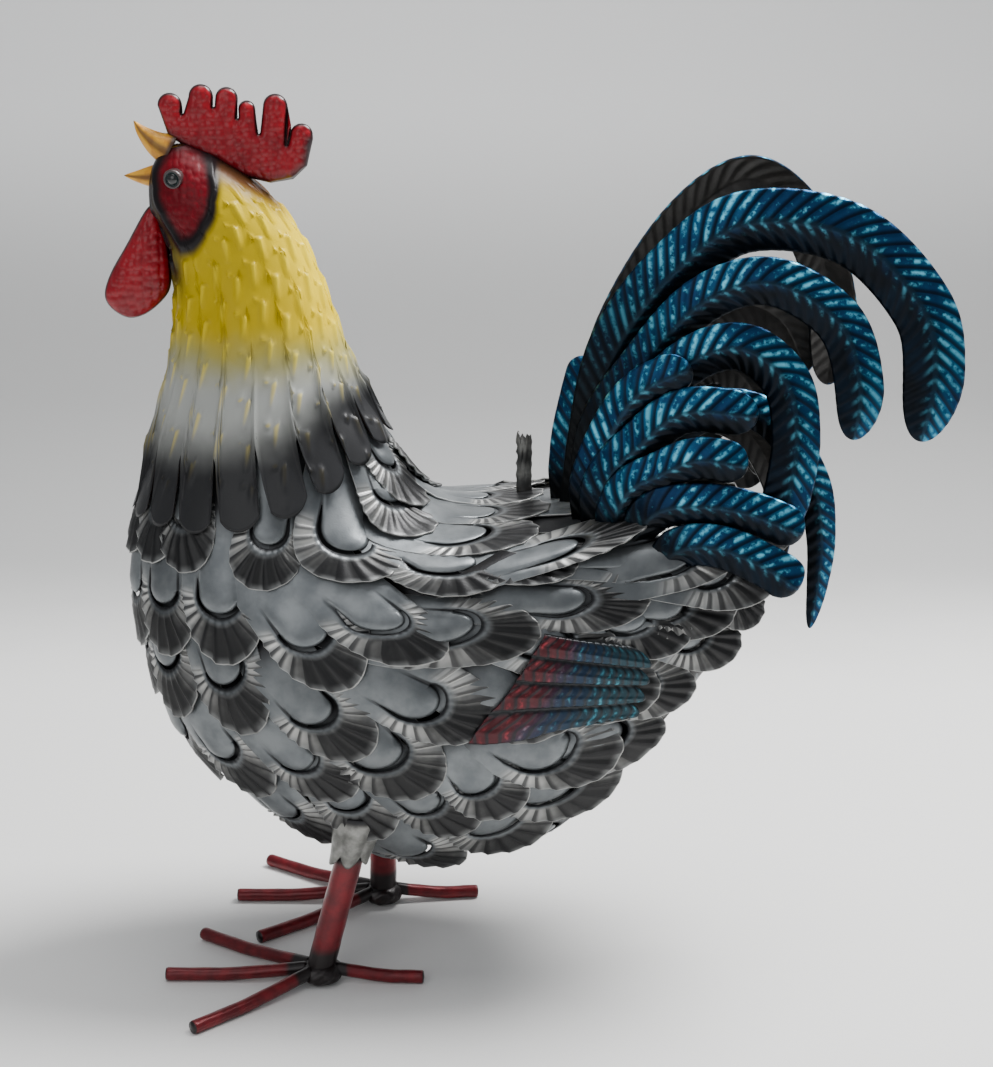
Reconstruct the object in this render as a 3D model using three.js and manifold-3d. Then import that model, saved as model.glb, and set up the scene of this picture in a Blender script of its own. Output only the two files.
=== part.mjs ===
// A garden rooster of pressed, cut and welded sheet steel, standing on two tube legs with rod toes.
// x runs from the beak (-) to the tail (+), y across the bird with its left side at -y, z up from the ground.
import * as THREE from "three";
import { mergeVertices } from "three/addons/utils/BufferGeometryUtils.js";
import Module from "manifold-3d";

const wasm = await Module();
wasm.setup();

// Driving sizes, in millimetres and degrees.
const birdHeight = 541; // ground to the top of the comb; poses and outlines below are thousandths of it
const clearance = 0.4; // air between pieces that the welds join
const sheet = 1.6; // feather plate, with its rolled edge
const featherFlare = 8; // how far a feather tip stands off the body
const featherCrown = 1.6; // rise of a feather's middle over its edges
const slotDepth = 1; // depth of the pressed U slot round a feather's tongue
const featherTuck = 22; // length of a row that the row before it covers
const featherNotch = 14; // depth of the notch between two tips of a row
const rowGap = 1.4; // between the hidden faces of two rows
const rowHollow = 5; // how much further apart those faces are at their middles
const hemFlare = 7;
const hemTuck = 30;
const hemNotch = 20;
const combThickness = 8;
const wattleThickness = 17;
const beakWidth = 17;
const eyeDiameter = 10.5;
const eyeHeight = 3.4;
const wingThickness = 3;
const tailFold = 4.5; // height of the ridge along a tail feather
const tailSheet = 1.8;
const tabThickness = 3;
const rearTuck = 8; // from the last tips back to the rear end face
const rearBulge = 24; // how far the middle of that face stands out
const legDiameter = 17.5;
const cuffHeight = 34;
const cuffTopDiameter = 36;
const cuffFlare = 2; // between the leg tube and the cuff's lower edge, besides its sheet
const cuffScallop = 1.12; // reach of the cuff's lower points over its lower radius
const hubDiameter = 26;
const hubHeight = 13;
const toeDiameter = 8.2;
const frontToeLength = 98;
const rearToeLength = 63.7;
const toeArch = 5; // how far a toe's root stands above its tip

const permille = birdHeight / 1000;
const degree = Math.PI / 180;

// The stance, in thousandths of the bird's height as in the tables below, then in millimetres.
const stance = {
  legTop: 277.3, // height at which the legs end inside the body
  footSpacing: 198.3, // between the two feet, across the bird
  leftFootX: -199.1,
  rightFootX: -138.6,
  legRootX: -133.1, // where both legs meet the body
  cuffBottom: 151.6,
};
const legTop = stance.legTop * permille;
const footSpacing = stance.footSpacing * permille;
const leftFootX = stance.leftFootX * permille;
const rightFootX = stance.rightFootX * permille;
const legRootX = stance.legRootX * permille;
const cuffBottom = stance.cuffBottom * permille;

// Rings across the bird, from the crown of the head to the rear hem, in thousandths of its height:
// back point x and z, front point x and z, half width, and how square the ring is (0 an ellipse).
const rings = [
  [-325, 938, -352, 932, 12, 0],
  [-290, 920, -367, 908, 34, 0],
  [-255, 896, -369, 874, 49, 0],
  [-220, 857, -354, 838, 55, 0],
  [-194, 808, -347, 793, 60, 0],
  [-168, 732, -353, 718, 74, 0],
  [-144, 651, -378, 591, 92, 0],
  [-78, 549, -396, 484, 122, 0.05],
  [52, 543, -384, 384, 146, 0.15],
  [152, 551, -348, 287, 157, 0.2],
  [229, 532, -248, 189, 152, 0.2],
  [281, 495, -104, 126, 135, 0.2],
  [311, 444, 63, 126, 104, 0.15],
  [333, 410, 203, 148, 67, 0.1],
];
const neckRings = 6; // the ring of this number is place 0, so the head's places are negative
const meanPitch = 92.4 * permille; // mean distance of two rings, for the margins of whole loops

// Catmull-Rom value between b and c at share t.
function catmullRom(a, b, c, d, t) {
  const linear = (c - a) * t;
  const square = (2 * a - 5 * b + 4 * c - d) * t * t;
  const cube = (3 * b - a - 3 * c + d) * t * t * t;
  return b + 0.5 * (linear + square + cube);
}

// The ring at a place between the listed ones, in millimetres.
function ringAt(place) {
  const along = THREE.MathUtils.clamp(place + neckRings, 0, rings.length - 1);
  const i = Math.min(Math.floor(along), rings.length - 2);
  const pick = (k) => rings[THREE.MathUtils.clamp(k, 0, rings.length - 1)];
  const value = rings[i].map((_, c) =>
    catmullRom(pick(i - 1)[c], pick(i)[c], pick(i + 1)[c], pick(i + 2)[c], along - i),
  );
  const back = new THREE.Vector3(value[0], 0, value[1]).multiplyScalar(permille);
  const front = new THREE.Vector3(value[2], 0, value[3]).multiplyScalar(permille);
  const middle = back.clone().add(front).multiplyScalar(0.5);
  const half = back.distanceTo(front) / 2;
  const up = back.clone().sub(middle).normalize();
  return { middle, up, half, width: value[4] * permille, power: 1 - value[5] };
}

// A point of the bird's skin: place along the rings, angle round them (0 back, 180 breast, the left
// side between), and height above the skin.
function skinPoint(place, angle, lift = 0) {
  const ring = ringAt(place);
  const full = (x) => Math.sign(x) * Math.abs(x) ** ring.power;
  const height = full(Math.cos(angle * degree)) * (ring.half + lift);
  const point = ring.middle.clone().addScaledVector(ring.up, height);
  point.y = -full(Math.sin(angle * degree)) * (ring.width + lift);
  return point;
}

// Millimetres of skin between one ring and the next, here.
function ringPitch(place, angle) {
  const step = 0.1;
  return skinPoint(place - step / 2, angle).distanceTo(skinPoint(place + step / 2, angle)) / step;
}

// A closed geometry from a list of vertices and faces as a solid with its faces outwards.
function toSolid(points, faces) {
  const vertProperties = new Float32Array(points.flatMap((p) => [p.x, p.y, p.z]));
  const make = (list) =>
    new wasm.Manifold(
      new wasm.Mesh({ numProp: 3, vertProperties, triVerts: new Uint32Array(list.flat()) }),
    );
  const made = make(faces);
  return made.volume() > 0 ? made : make(faces.map(([a, b, c]) => [a, c, b]));
}

// A three.js geometry as a solid.
function geometrySolid(geometry) {
  const bare = geometry.clone();
  bare.deleteAttribute("normal");
  bare.deleteAttribute("uv");
  const merged = mergeVertices(bare, 1e-4);
  const position = merged.getAttribute("position");
  const points = Array.from({ length: position.count }, (_, i) =>
    new THREE.Vector3().fromBufferAttribute(position, i),
  );
  const index = merged.index.array;
  const faces = Array.from({ length: index.length / 3 }, (_, i) => [
    index[3 * i],
    index[3 * i + 1],
    index[3 * i + 2],
  ]);
  return toSolid(points, faces);
}

// A solid from closed rings of points, one after another, with a pole at each end.
function ringSolid(loops, startPole, endPole) {
  const count = loops[0].length;
  const points = [startPole, ...loops.flat(), endPole];
  const last = points.length - 1;
  const at = (loop, i) => 1 + loop * count + (i % count);
  const faces = [];
  for (let i = 0; i < count; i++) {
    faces.push([0, at(0, i + 1), at(0, i)]);
    faces.push([last, at(loops.length - 1, i), at(loops.length - 1, i + 1)]);
    for (let k = 0; k + 1 < loops.length; k++) {
      faces.push([at(k, i), at(k, i + 1), at(k + 1, i + 1)]);
      faces.push([at(k, i), at(k + 1, i + 1), at(k + 1, i)]);
    }
  }
  return toSolid(points, faces);
}

// A solid from open sections of the same number of points, with flat ends cut into the given faces.
function sectionSolid(sections, endFaces) {
  const count = sections[0].length;
  const points = sections.flat();
  const faces = [];
  for (let k = 0; k + 1 < sections.length; k++)
    for (let i = 0; i < count; i++) {
      const j = (i + 1) % count;
      faces.push([k * count + i, k * count + j, (k + 1) * count + j]);
      faces.push([k * count + i, (k + 1) * count + j, (k + 1) * count + i]);
    }
  const end = (sections.length - 1) * count;
  for (const [a, b, c] of endFaces) {
    faces.push([a, c, b]);
    faces.push([end + a, end + b, end + c]);
  }
  return toSolid(points, faces);
}

// What is left of a solid after cutting others out of it, without loose chips.
function cutBy(solid, ...tools) {
  const rest = tools.reduce((piece, tool) => piece.subtract(tool), solid);
  return rest.decompose().reduce((a, b) => (a.volume() > b.volume() ? a : b));
}

// Rows of feathers, each a solid skirt. Places are those of its tips at the back and at the breast,
// sag is how much further they reach at the sides.
const featherRows = [
  { name: "feather_row_1_shoulder", back: 0.9, breast: 0.85, sag: 0.7, count: 14, phase: 17.3 },
  { name: "feather_row_2_upper_breast", back: 1.85, breast: 1.9, sag: 1.25, count: 14, phase: 15, bends: 2 },
  { name: "feather_row_3_breast", back: 2.85, breast: 2.5, sag: 1.65, count: 16, phase: 7.5 },
  { name: "feather_row_4_flank", back: 4.1, breast: 3.5, sag: 1.2, count: 16, phase: 18 },
  { name: "feather_row_5_belly", back: 5.05, breast: 4.55, sag: 0.8, count: 14, phase: 14 },
  { name: "feather_row_6_rear_hem", back: 5.7, breast: 5.45, sag: 0.3, count: 11, phase: 4 },
];
const hem = { back: 0.3, breast: 0.45, sag: 0.26, count: 18, phase: 17 };

// Place of a row's tip line at an angle.
function tipLine(row, angle) {
  const a = angle * degree;
  const forward = ((row.breast - row.back) * (1 - Math.cos(a))) / 2;
  return row.back + forward + row.sag * Math.abs(Math.sin(a)) ** 3;
}

// Place where a row ends under its own tips, and the next one starts.
function cutLine(row, angle, tuck) {
  const tip = tipLine(row, angle);
  return tip - tuck / ringPitch(tip, angle);
}

// Share across the feather that lies at an angle, -1 and 1 at its edges.
function acrossFeather(row, angle) {
  const turn = ((angle - row.phase) * row.count) / 360 + 0.5;
  return 2 * (turn - Math.floor(turn)) - 1;
}

// Columns round a row: the notch, then the slot, the tongue and the slot of each feather.
const featherColumns = [-1, -0.5, 0, 0.5];
const hemColumns = [-1, -0.4, 0.4]; // each lobe of the neck's hem, from its notch
function rowAngles(row, columns) {
  const pitch = 360 / row.count;
  return Array.from({ length: row.count }, (_, i) =>
    columns.map((s) => row.phase + (i + s / 2) * pitch),
  ).flat();
}

// Height of a feather over the skin: share along it from root to tip, share across it.
function featherLift(along, across, flare) {
  const side = Math.abs(across);
  const dome = featherCrown * (1 - across * across) * Math.sin(Math.PI * Math.min(along, 0.9));
  const beside = side > 0.3 && side < 0.7 && along > 0.5 && along < 0.7;
  const below = side < 0.3 && along > 0.8 && along < 0.95;
  return flare * along ** 1.4 + dome - (beside || below ? slotDepth : 0);
}

// Mean place over the angles, where the end face of a skirt has its middle.
function meanPlace(angles, placeAt) {
  return angles.reduce((sum, a) => sum + placeAt(a), 0) / angles.length;
}

// A row's solid, grown by a margin where it is used to cut its neighbours.
function featherRow(index, grow = 0) {
  const row = featherRows[index];
  const last = index === featherRows.length - 1;
  const angles = rowAngles(row, featherColumns);
  const flare = last ? featherFlare * 0.6 : featherFlare;
  const before = index === 0 ? hem : featherRows[index - 1];
  const beforeTuck = index === 0 ? hemTuck : featherTuck;
  const margin = (place, angle) => (rowGap - grow) / ringPitch(place, angle);
  const root = (angle) => {
    const place = cutLine(before, angle, beforeTuck);
    return place + margin(place, angle);
  };
  const cut = (angle) => cutLine(row, angle, last ? rearTuck : featherTuck) + grow / meanPitch;
  const shares = row.bends ? [0, 0.3, 0.6, 0.87, 1] : [0, 0.6, 0.87, 1];
  const tip = (angle) => {
    const line = tipLine(row, angle);
    const notch = featherNotch * acrossFeather(row, angle + 1e-6) ** 2;
    return line - (notch - grow) / ringPitch(line, angle);
  };
  const loops = shares.map((share) =>
    angles.map((angle) => {
      const place = THREE.MathUtils.lerp(root(angle), tip(angle), share);
      return skinPoint(place, angle, grow + featherLift(share, acrossFeather(row, angle + 1e-6), flare));
    }),
  );
  loops.push(angles.map((angle) => skinPoint(tip(angle), angle, flare - sheet - grow)));
  loops.push(angles.map((angle) => skinPoint(cut(angle), angle, sheet - grow)));
  const startPole = ringAt(meanPlace(angles, root) + (rowHollow - grow) / meanPitch).middle;
  const end = ringAt(meanPlace(angles, cut));
  const rearward = new THREE.Vector3(end.up.z, 0, -end.up.x);
  const endPole = end.middle.addScaledVector(rearward, last ? rearBulge + grow : 0);
  return ringSolid(loops, startPole, endPole);
}

// The head and neck: one pressed shell that ends in the lobes of its hem, over the first feathers.
function neckShell(grow = 0) {
  const angles = rowAngles(hem, hemColumns);
  const top = -neckRings;
  const levels = [top, top + 0.5, top + 1, top + 2, top + 3, top + 4, top + 5];
  const loops = levels.map((place) => angles.map((angle) => skinPoint(place, angle, grow)));
  const tip = (angle) => {
    const line = tipLine(hem, angle);
    const notch = hemNotch * acrossFeather(hem, angle + 1e-6) ** 2;
    return line - (notch - grow) / ringPitch(line, angle);
  };
  const cut = (angle) => cutLine(hem, angle, hemTuck) + grow / meanPitch;
  for (const share of [0.5, 1])
    loops.push(
      angles.map((angle) => {
        const place = THREE.MathUtils.lerp(-1, tip(angle), share);
        return skinPoint(place, angle, grow + hemFlare * share ** 1.5);
      }),
    );
  loops.push(angles.map((angle) => skinPoint(tip(angle), angle, hemFlare - sheet - grow)));
  loops.push(angles.map((angle) => skinPoint(cut(angle), angle, sheet - grow)));
  const crown = ringAt(top).middle.clone();
  crown.z += 3 * permille;
  return ringSolid(loops, crown, ringAt(meanPlace(angles, cut)).middle);
}

// A flat piece in the plane of symmetry: an outline in thousandths of the bird's height, with
// bevelled edges.
function flatPiece(outline, thickness, bevel) {
  const shape = new THREE.Shape(outline.map(([x, z]) => new THREE.Vector2(x * permille, z * permille)));
  const geometry = new THREE.ExtrudeGeometry(shape, {
    depth: thickness - 2 * bevel,
    bevelEnabled: true,
    bevelThickness: bevel,
    bevelSize: bevel,
    bevelOffset: -bevel,
    bevelSegments: 1,
  });
  geometry.translate(0, 0, bevel - thickness / 2);
  geometry.rotateX(Math.PI / 2);
  return geometrySolid(geometry);
}

// The comb: six round lobes (middle x, top z, half width), the notch after each, then its base.
const combLobes = [
  [-344, 991, 13],
  [-311, 1000, 13],
  [-284, 997, 12],
  [-263, 983, 9],
  [-233, 990, 13],
  [-206, 959, 12],
];
const combNotches = [[-331, 969], [-298, 976], [-273, 964], [-251, 948], [-222, 936]];
const combBase = [[-196, 925], [-209, 904], [-228, 896], [-250, 899], [-275, 914], [-300, 929], [-343, 950]];
function combOutline() {
  const outline = combLobes.flatMap(([x, top, half], i) => {
    const arc = [180, 140, 90, 40, 0].map((a) => [
      x + half * Math.cos(a * degree),
      top - half + half * Math.sin(a * degree),
    ]);
    return i < combNotches.length ? [...arc, combNotches[i]] : arc;
  });
  return [...outline, ...combBase];
}

// A cushion in the plane of symmetry: an outline that narrows towards both its domed sides.
function cushionPiece(outline, thickness) {
  const points = outline.map(([x, z]) => new THREE.Vector3(x * permille, 0, z * permille));
  const centre = points.reduce((sum, p) => sum.add(p), new THREE.Vector3()).divideScalar(points.length);
  const levels = [-0.5, -0.36, 0, 0.36, 0.5];
  const loops = levels.map((level) =>
    points.map((p) => {
      const q = centre.clone().lerp(p, Math.sqrt(1 - (1.7 * level) ** 2));
      q.y = level * thickness;
      return q;
    }),
  );
  const pole = (level) => centre.clone().setY(level * thickness);
  return ringSolid(loops, pole(levels[0] * 1.08), pole(levels[4] * 1.08));
}

// Outline of the wattle, a drop below the beak.
const wattleOutline = [
  [-363, 872], [-374, 868], [-397, 830], [-416, 798], [-423, 775], [-416, 760], [-399, 750],
  [-382, 753], [-366, 764], [-353, 780], [-350, 800], [-352, 830],
];

// The two halves of the beak: tip, then lower and upper point of the base.
const upperBeak = [[-383, 962], [-356, 918], [-348, 942]];
const lowerBeak = [[-396, 904], [-352, 886], [-350, 914]];

// One half of the beak: a cone to its tip, from a base inside the head.
function beakHalf([tip, baseLow, baseHigh], sides = 10) {
  const base = new THREE.Vector3((baseLow[0] + baseHigh[0]) / 2, 0, (baseLow[1] + baseHigh[1]) / 2);
  base.multiplyScalar(permille);
  const point = new THREE.Vector3(tip[0], 0, tip[1]).multiplyScalar(permille);
  const across = new THREE.Vector3(baseHigh[0] - baseLow[0], 0, baseHigh[1] - baseLow[1]);
  const half = (across.length() * permille) / 2;
  across.normalize();
  const loops = [0, 0.5, 0.93].map((share) =>
    Array.from({ length: sides }, (_, i) => {
      const a = (i / sides) * 2 * Math.PI;
      const size = (1 - share) ** 0.8;
      const p = base.clone().lerp(point, share);
      p.addScaledVector(across, Math.cos(a) * half * size);
      p.y = (Math.sin(a) * size * beakWidth) / 2;
      return p;
    }),
  );
  return ringSolid(loops, base, point);
}

// An eye: a round boss on the side of the head, with its middle at a place of the skin.
const eyePlace = -4.78;
const eyeAngle = 107;
function eyeBoss(side) {
  const r = eyeDiameter / 2;
  const profile = [[0, -3], [r, -3], [r, eyeHeight * 0.3], [r * 0.7, eyeHeight * 0.8], [0, eyeHeight]];
  const geometry = new THREE.LatheGeometry(profile.map(([x, y]) => new THREE.Vector2(x, y)), 12);
  const here = skinPoint(eyePlace, eyeAngle, 1);
  const out = skinPoint(eyePlace, eyeAngle, 11).sub(here).normalize();
  const turn = new THREE.Quaternion().setFromUnitVectors(new THREE.Vector3(0, 1, 0), out);
  geometry.applyQuaternion(turn).translate(here.x, here.y, here.z);
  const boss = geometrySolid(geometry);
  return side < 0 ? boss : mirrored(boss);
}

// The same solid on the other side of the bird.
function mirrored(solid) {
  return solid.mirror([0, 1, 0]);
}

// Wing panel: a folded plate over the flank feathers. Angles of its upper and lower edge, ahead and
// behind, then the places of its corners ahead and behind.
const wingAngles = { upper: [73, 67], lower: [96, 83] };
const wingFront = { upper: 3.6, lower: 4.2 };
const wingRear = { upper: 4.75, lower: 5.3 };
function wingPanel(side) {
  const columns = 9;
  const steps = 4;
  const place = (down, along) => {
    const upper = THREE.MathUtils.lerp(...wingAngles.upper, along);
    const lower = THREE.MathUtils.lerp(...wingAngles.lower, along);
    const angle = THREE.MathUtils.lerp(upper, lower, down);
    const start = THREE.MathUtils.lerp(wingFront.upper, wingFront.lower, down);
    const bend = 0.1 * (2 * down - 1) ** 4;
    const rear = THREE.MathUtils.lerp(wingRear.upper, wingRear.lower, down) - bend;
    return [THREE.MathUtils.lerp(start, rear, along), angle];
  };
  const lift = featherFlare + featherCrown + clearance;
  const sections = Array.from({ length: columns + 1 }, (_, i) => {
    const fold = i % 3 === 0 ? 0 : wingThickness / 2;
    const edge = (height, order) =>
      order.map((k) => skinPoint(...place(i / columns, k / steps), lift + height));
    const forward = Array.from({ length: steps + 1 }, (_, k) => k);
    return [...edge(wingThickness / 2 + fold, forward), ...edge(0, forward.toReversed())];
  });
  const count = 2 * (steps + 1);
  const faces = [];
  for (let k = 0; k < steps; k++) {
    faces.push([k, k + 1, count - 2 - k]);
    faces.push([k, count - 2 - k, count - 1 - k]);
  }
  const panel = sectionSolid(sections, faces);
  return side < 0 ? panel : mirrored(panel);
}

// Tail feathers, in thousandths of the bird's height: start and end distance from the plane of
// symmetry, width, and route (x, z). Side -1 is the left.
const tailFeathers = [
  {
    name: "tail_sickle_left_1", side: -1, from: 15, to: 85, width: 66,
    route: [
      [80, 530], [97, 619], [131, 727], [186, 808], [260, 863],
      [369, 852], [445, 779], [462, 710], [451, 634],
    ],
  },
  {
    name: "tail_sickle_left_2", side: -1, from: 31, to: 100, width: 52,
    route: [[90, 525], [103, 624], [151, 703], [214, 781], [286, 805], [357, 766], [381, 700], [377, 640]],
  },
  {
    name: "tail_sickle_left_3", side: -1, from: 48, to: 115, width: 52,
    route: [
      [96, 530], [102, 577], [159, 673], [211, 725], [262, 736],
      [305, 701], [316, 647], [311, 595], [294, 530],
    ],
  },
  {
    name: "tail_drooping_left", side: -1, from: 22, to: 55, width: 41,
    route: [[128, 520], [160, 590], [230, 655], [294, 647], [342, 582], [355, 518], [353, 462], [346, 412]],
  },
  {
    name: "tail_covert_left_1", side: -1, from: 0, to: 2, width: 31,
    route: [[66, 530], [74, 575], [78, 619], [87, 664], [98, 708]],
  },
  {
    name: "tail_covert_left_2", side: -1, from: 61, to: 104, width: 41,
    route: [[92, 515], [102, 588], [124, 651], [152, 693], [203, 721]],
  },
  {
    name: "tail_covert_left_3", side: -1, from: 76, to: 115, width: 44,
    route: [[104, 500], [116, 588], [152, 636], [198, 673], [274, 671]],
  },
  {
    name: "tail_covert_left_4", side: -1, from: 87, to: 126, width: 41,
    route: [[118, 495], [135, 578], [174, 608], [214, 625], [264, 619]],
  },
  {
    name: "tail_covert_left_5", side: -1, from: 98, to: 140, width: 41,
    route: [[135, 500], [165, 562], [216, 575], [268, 569], [323, 549]],
  },
  {
    name: "tail_covert_left_6", side: -1, from: 107, to: 155, width: 42,
    route: [[165, 480], [190, 524], [235, 532], [290, 512], [318, 492]],
  },
  {
    name: "tail_sickle_right_1", side: 1, from: 15, to: 85, width: 55,
    route: [
      [82, 530], [103, 625], [137, 734], [192, 828], [250, 882],
      [296, 884], [348, 828], [376, 740], [375, 654],
    ],
  },
  {
    name: "tail_sickle_right_2", side: 1, from: 31, to: 100, width: 46,
    route: [[92, 530], [105, 558], [161, 678], [227, 738], [277, 747], [323, 723], [353, 665]],
  },
  {
    name: "tail_sickle_right_3", side: 1, from: 48, to: 115, width: 46,
    route: [[102, 520], [116, 547], [185, 641], [240, 678], [285, 654], [307, 599], [307, 538]],
  },
  {
    name: "tail_drooping_right", side: 1, from: 22, to: 63, width: 37,
    route: [[126, 505], [165, 580], [222, 628], [280, 610], [318, 545], [324, 480], [315, 412]],
  },
  {
    name: "tail_covert_right_1", side: 1, from: 63, to: 104, width: 39,
    route: [[92, 510], [106, 580], [130, 636], [165, 672], [207, 690]],
  },
  {
    name: "tail_covert_right_2", side: 1, from: 80, to: 115, width: 41,
    route: [[106, 500], [122, 580], [160, 625], [205, 650], [262, 640]],
  },
  {
    name: "tail_covert_right_3", side: 1, from: 89, to: 129, width: 39,
    route: [[120, 490], [140, 565], [180, 595], [220, 602], [266, 588]],
  },
  {
    name: "tail_covert_right_4", side: 1, from: 100, to: 148, width: 39,
    route: [[132, 490], [160, 548], [216, 558], [268, 548], [312, 524]],
  },
];
const endRounding = 0.1; // share of a tail feather's length in its rounded end

// A tail feather: a strip folded along its middle, narrow at the root and round at the end.
function tailFeather({ side, from, to, width, route }) {
  const curve = new THREE.CatmullRomCurve3(
    route.map(([x, z]) => new THREE.Vector3(x * permille, 0, z * permille)),
    false,
    "centripetal",
  );
  const steps = route.length > 6 ? 9 : 4;
  const shares = Array.from({ length: steps + 1 }, (_, i) => (i / steps) * (1 - endRounding));
  for (const share of [0.45, 0.8, 0.97]) shares.push(1 - endRounding * (1 - share));
  const sections = shares.map((share) => {
    const point = curve.getPointAt(share);
    const along = curve.getTangentAt(share);
    point.y = side * THREE.MathUtils.lerp(from, to, share) * permille;
    const across = new THREE.Vector3(-along.z, 0, along.x);
    const out = new THREE.Vector3(0, side, 0);
    const rootTaper = 0.4 + 0.6 * THREE.MathUtils.smoothstep(share, 0, 0.3);
    const endTaper = Math.sqrt(Math.max(0, 1 - Math.max(0, (share - 1 + endRounding) / endRounding) ** 2));
    const half = (width / 2) * permille * rootTaper * endTaper;
    const fold = tailFold * rootTaper * endTaper;
    const place = (c, n) => point.clone().addScaledVector(across, c).addScaledVector(out, n);
    return [
      place(-half, 0), place(0, fold), place(half, 0),
      place(half, -tailSheet), place(0, fold - tailSheet), place(-half, -tailSheet),
    ];
  });
  return sectionSolid(sections, [[0, 1, 4], [0, 4, 5], [1, 2, 3], [1, 3, 4]]);
}

// The small upright plate on the back, ahead of the tail and a little to the right.
const tab = { x: 31, low: 535, high: 616, width: 15, offset: 33 };
function backTab() {
  const { x, low, high, width, offset } = tab;
  const plate = new THREE.BoxGeometry(width * permille, tabThickness, (high - low) * permille);
  plate.translate(x * permille, offset * permille, ((low + high) / 2) * permille);
  return geometrySolid(plate);
}

// Middle of a leg at a height: a slanted line from the foot to the body.
function legMiddle(footX, side, z) {
  const share = (z - hubHeight) / (legTop - hubHeight);
  return new THREE.Vector3(THREE.MathUtils.lerp(footX, legRootX, share), (side * footSpacing) / 2, z);
}

// A round stack of horizontal rings along a leg, from [height, radius] pairs.
function legStack(footX, side, profile, sides, radiusAt = () => 1) {
  const loops = profile.map(([z, r], k) =>
    Array.from({ length: sides }, (_, i) => {
      const a = (i / sides) * 2 * Math.PI;
      const p = legMiddle(footX, side, z);
      p.x += Math.cos(a) * r * radiusAt(k, i);
      p.y += Math.sin(a) * r * radiusAt(k, i);
      return p;
    }),
  );
  const first = profile[0][0];
  const last = profile[profile.length - 1][0];
  return ringSolid(loops, legMiddle(footX, side, first), legMiddle(footX, side, last));
}

function legTube(footX, side, grow = 0) {
  const r = legDiameter / 2 + grow;
  return legStack(footX, side, [[hubHeight + clearance - grow, r], [legTop + grow, r]], 12);
}

// The scalloped cone round the top of a leg, open for the tube.
function legCuff(footX, side) {
  const top = cuffTopDiameter / 2;
  const bottom = legDiameter / 2 + sheet + clearance;
  const scallop = (k, i) => (k === 0 && i % 2 ? cuffScallop : 1);
  const outer = [[cuffBottom, bottom + cuffFlare], [cuffBottom + cuffHeight, top]];
  return legStack(footX, side, outer, 12, scallop).subtract(legTube(footX, side, clearance));
}

// The weld that joins a foot's toes under its leg.
function footHub(footX, side) {
  const r = hubDiameter / 2;
  const profile = [[0, 0.6], [r, 0.6], [r, hubHeight * 0.6], [r * 0.85, hubHeight], [0, hubHeight]];
  const hub = new THREE.LatheGeometry(profile.map(([x, y]) => new THREE.Vector2(x, y)), 12);
  hub.rotateX(Math.PI / 2);
  hub.translate(footX, (side * footSpacing) / 2, 0);
  return geometrySolid(hub);
}

// A toe: a rod with eight sides and a flat one below, from the hub down to its square-cut end.
function toe(footX, side, heading, middleHeading, length) {
  const r = toeDiameter / 2 / Math.cos(Math.PI / 8);
  const turn = Math.abs(heading - middleHeading) * degree;
  const besideMiddle = ((toeDiameter / 2) * (1 + Math.cos(turn)) + clearance) / Math.sin(turn);
  const isSideToe = turn > 0 && turn < Math.PI / 2;
  const start = Math.max(hubDiameter / 2 + clearance, isSideToe ? besideMiddle : 0);
  const outline = Array.from({ length: 8 }, (_, i) => {
    const a = (i + 0.5) * (Math.PI / 4);
    return [Math.sin(a) * r, Math.cos(a) * r];
  });
  const direction = new THREE.Vector3(-Math.cos(heading * degree), -Math.sin(heading * degree), 0);
  const across = new THREE.Vector3(-direction.y, direction.x, 0);
  const sections = [0, 0.3, 0.62, 1].map((share) => {
    const rise = toeDiameter / 2 + toeArch * Math.max(0, 1 - share / 0.62) ** 1.3;
    const middle = new THREE.Vector3(footX, (side * footSpacing) / 2, rise);
    middle.addScaledVector(direction, THREE.MathUtils.lerp(start, length, share));
    return outline.map(([c, z]) => {
      const p = middle.clone().addScaledVector(across, c);
      p.z += z;
      return p;
    });
  });
  return sectionSolid(sections, [[0, 1, 2], [0, 2, 3], [0, 3, 4], [0, 4, 5], [0, 5, 6], [0, 6, 7]]);
}

// Headings of the toes in degrees from straight ahead, positive to the bird's left.
const feet = [
  { word: "left", side: -1, x: leftFootX, toes: { outer: 41.8, middle: -0.5, inner: -34.1, rear: 177.5 } },
  { word: "right", side: 1, x: rightFootX, toes: { outer: -33.5, middle: -0.4, inner: 37.4, rear: 186 } },
];

// Materials, by the look of each sub-part.
const looks = {
  neck: { color: 0x8f8a4e, roughness: 0.45, metalness: 0.35 },
  comb: { color: 0x9c1c24, roughness: 0.4, metalness: 0.3 },
  beak: { color: 0xc8862a, roughness: 0.45, metalness: 0.3 },
  eye: { color: 0x2a2a2c, roughness: 0.2, metalness: 0.4 },
  steel: { color: 0x6d706c, roughness: 0.45, metalness: 0.6 },
  wing: { color: 0x3e6470, roughness: 0.4, metalness: 0.5 },
  tail: { color: 0x1f4a78, roughness: 0.35, metalness: 0.55 },
  leg: { color: 0x5c2322, roughness: 0.45, metalness: 0.45 },
  toe: { color: 0x6a2224, roughness: 0.45, metalness: 0.4 },
};

const rooster = new THREE.Group();
rooster.name = "rooster";

// Adds a solid to the bird as a named mesh.
function add(name, solid, look) {
  const mesh = solid.getMesh();
  const geometry = new THREE.BufferGeometry();
  geometry.setAttribute("position", new THREE.BufferAttribute(mesh.vertProperties, 3));
  geometry.setIndex(new THREE.BufferAttribute(mesh.triVerts, 1));
  geometry.computeVertexNormals();
  const material = new THREE.MeshStandardMaterial({ ...looks[look], flatShading: true });
  const piece = new THREE.Mesh(geometry, material);
  piece.name = name;
  rooster.add(piece);
}

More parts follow.
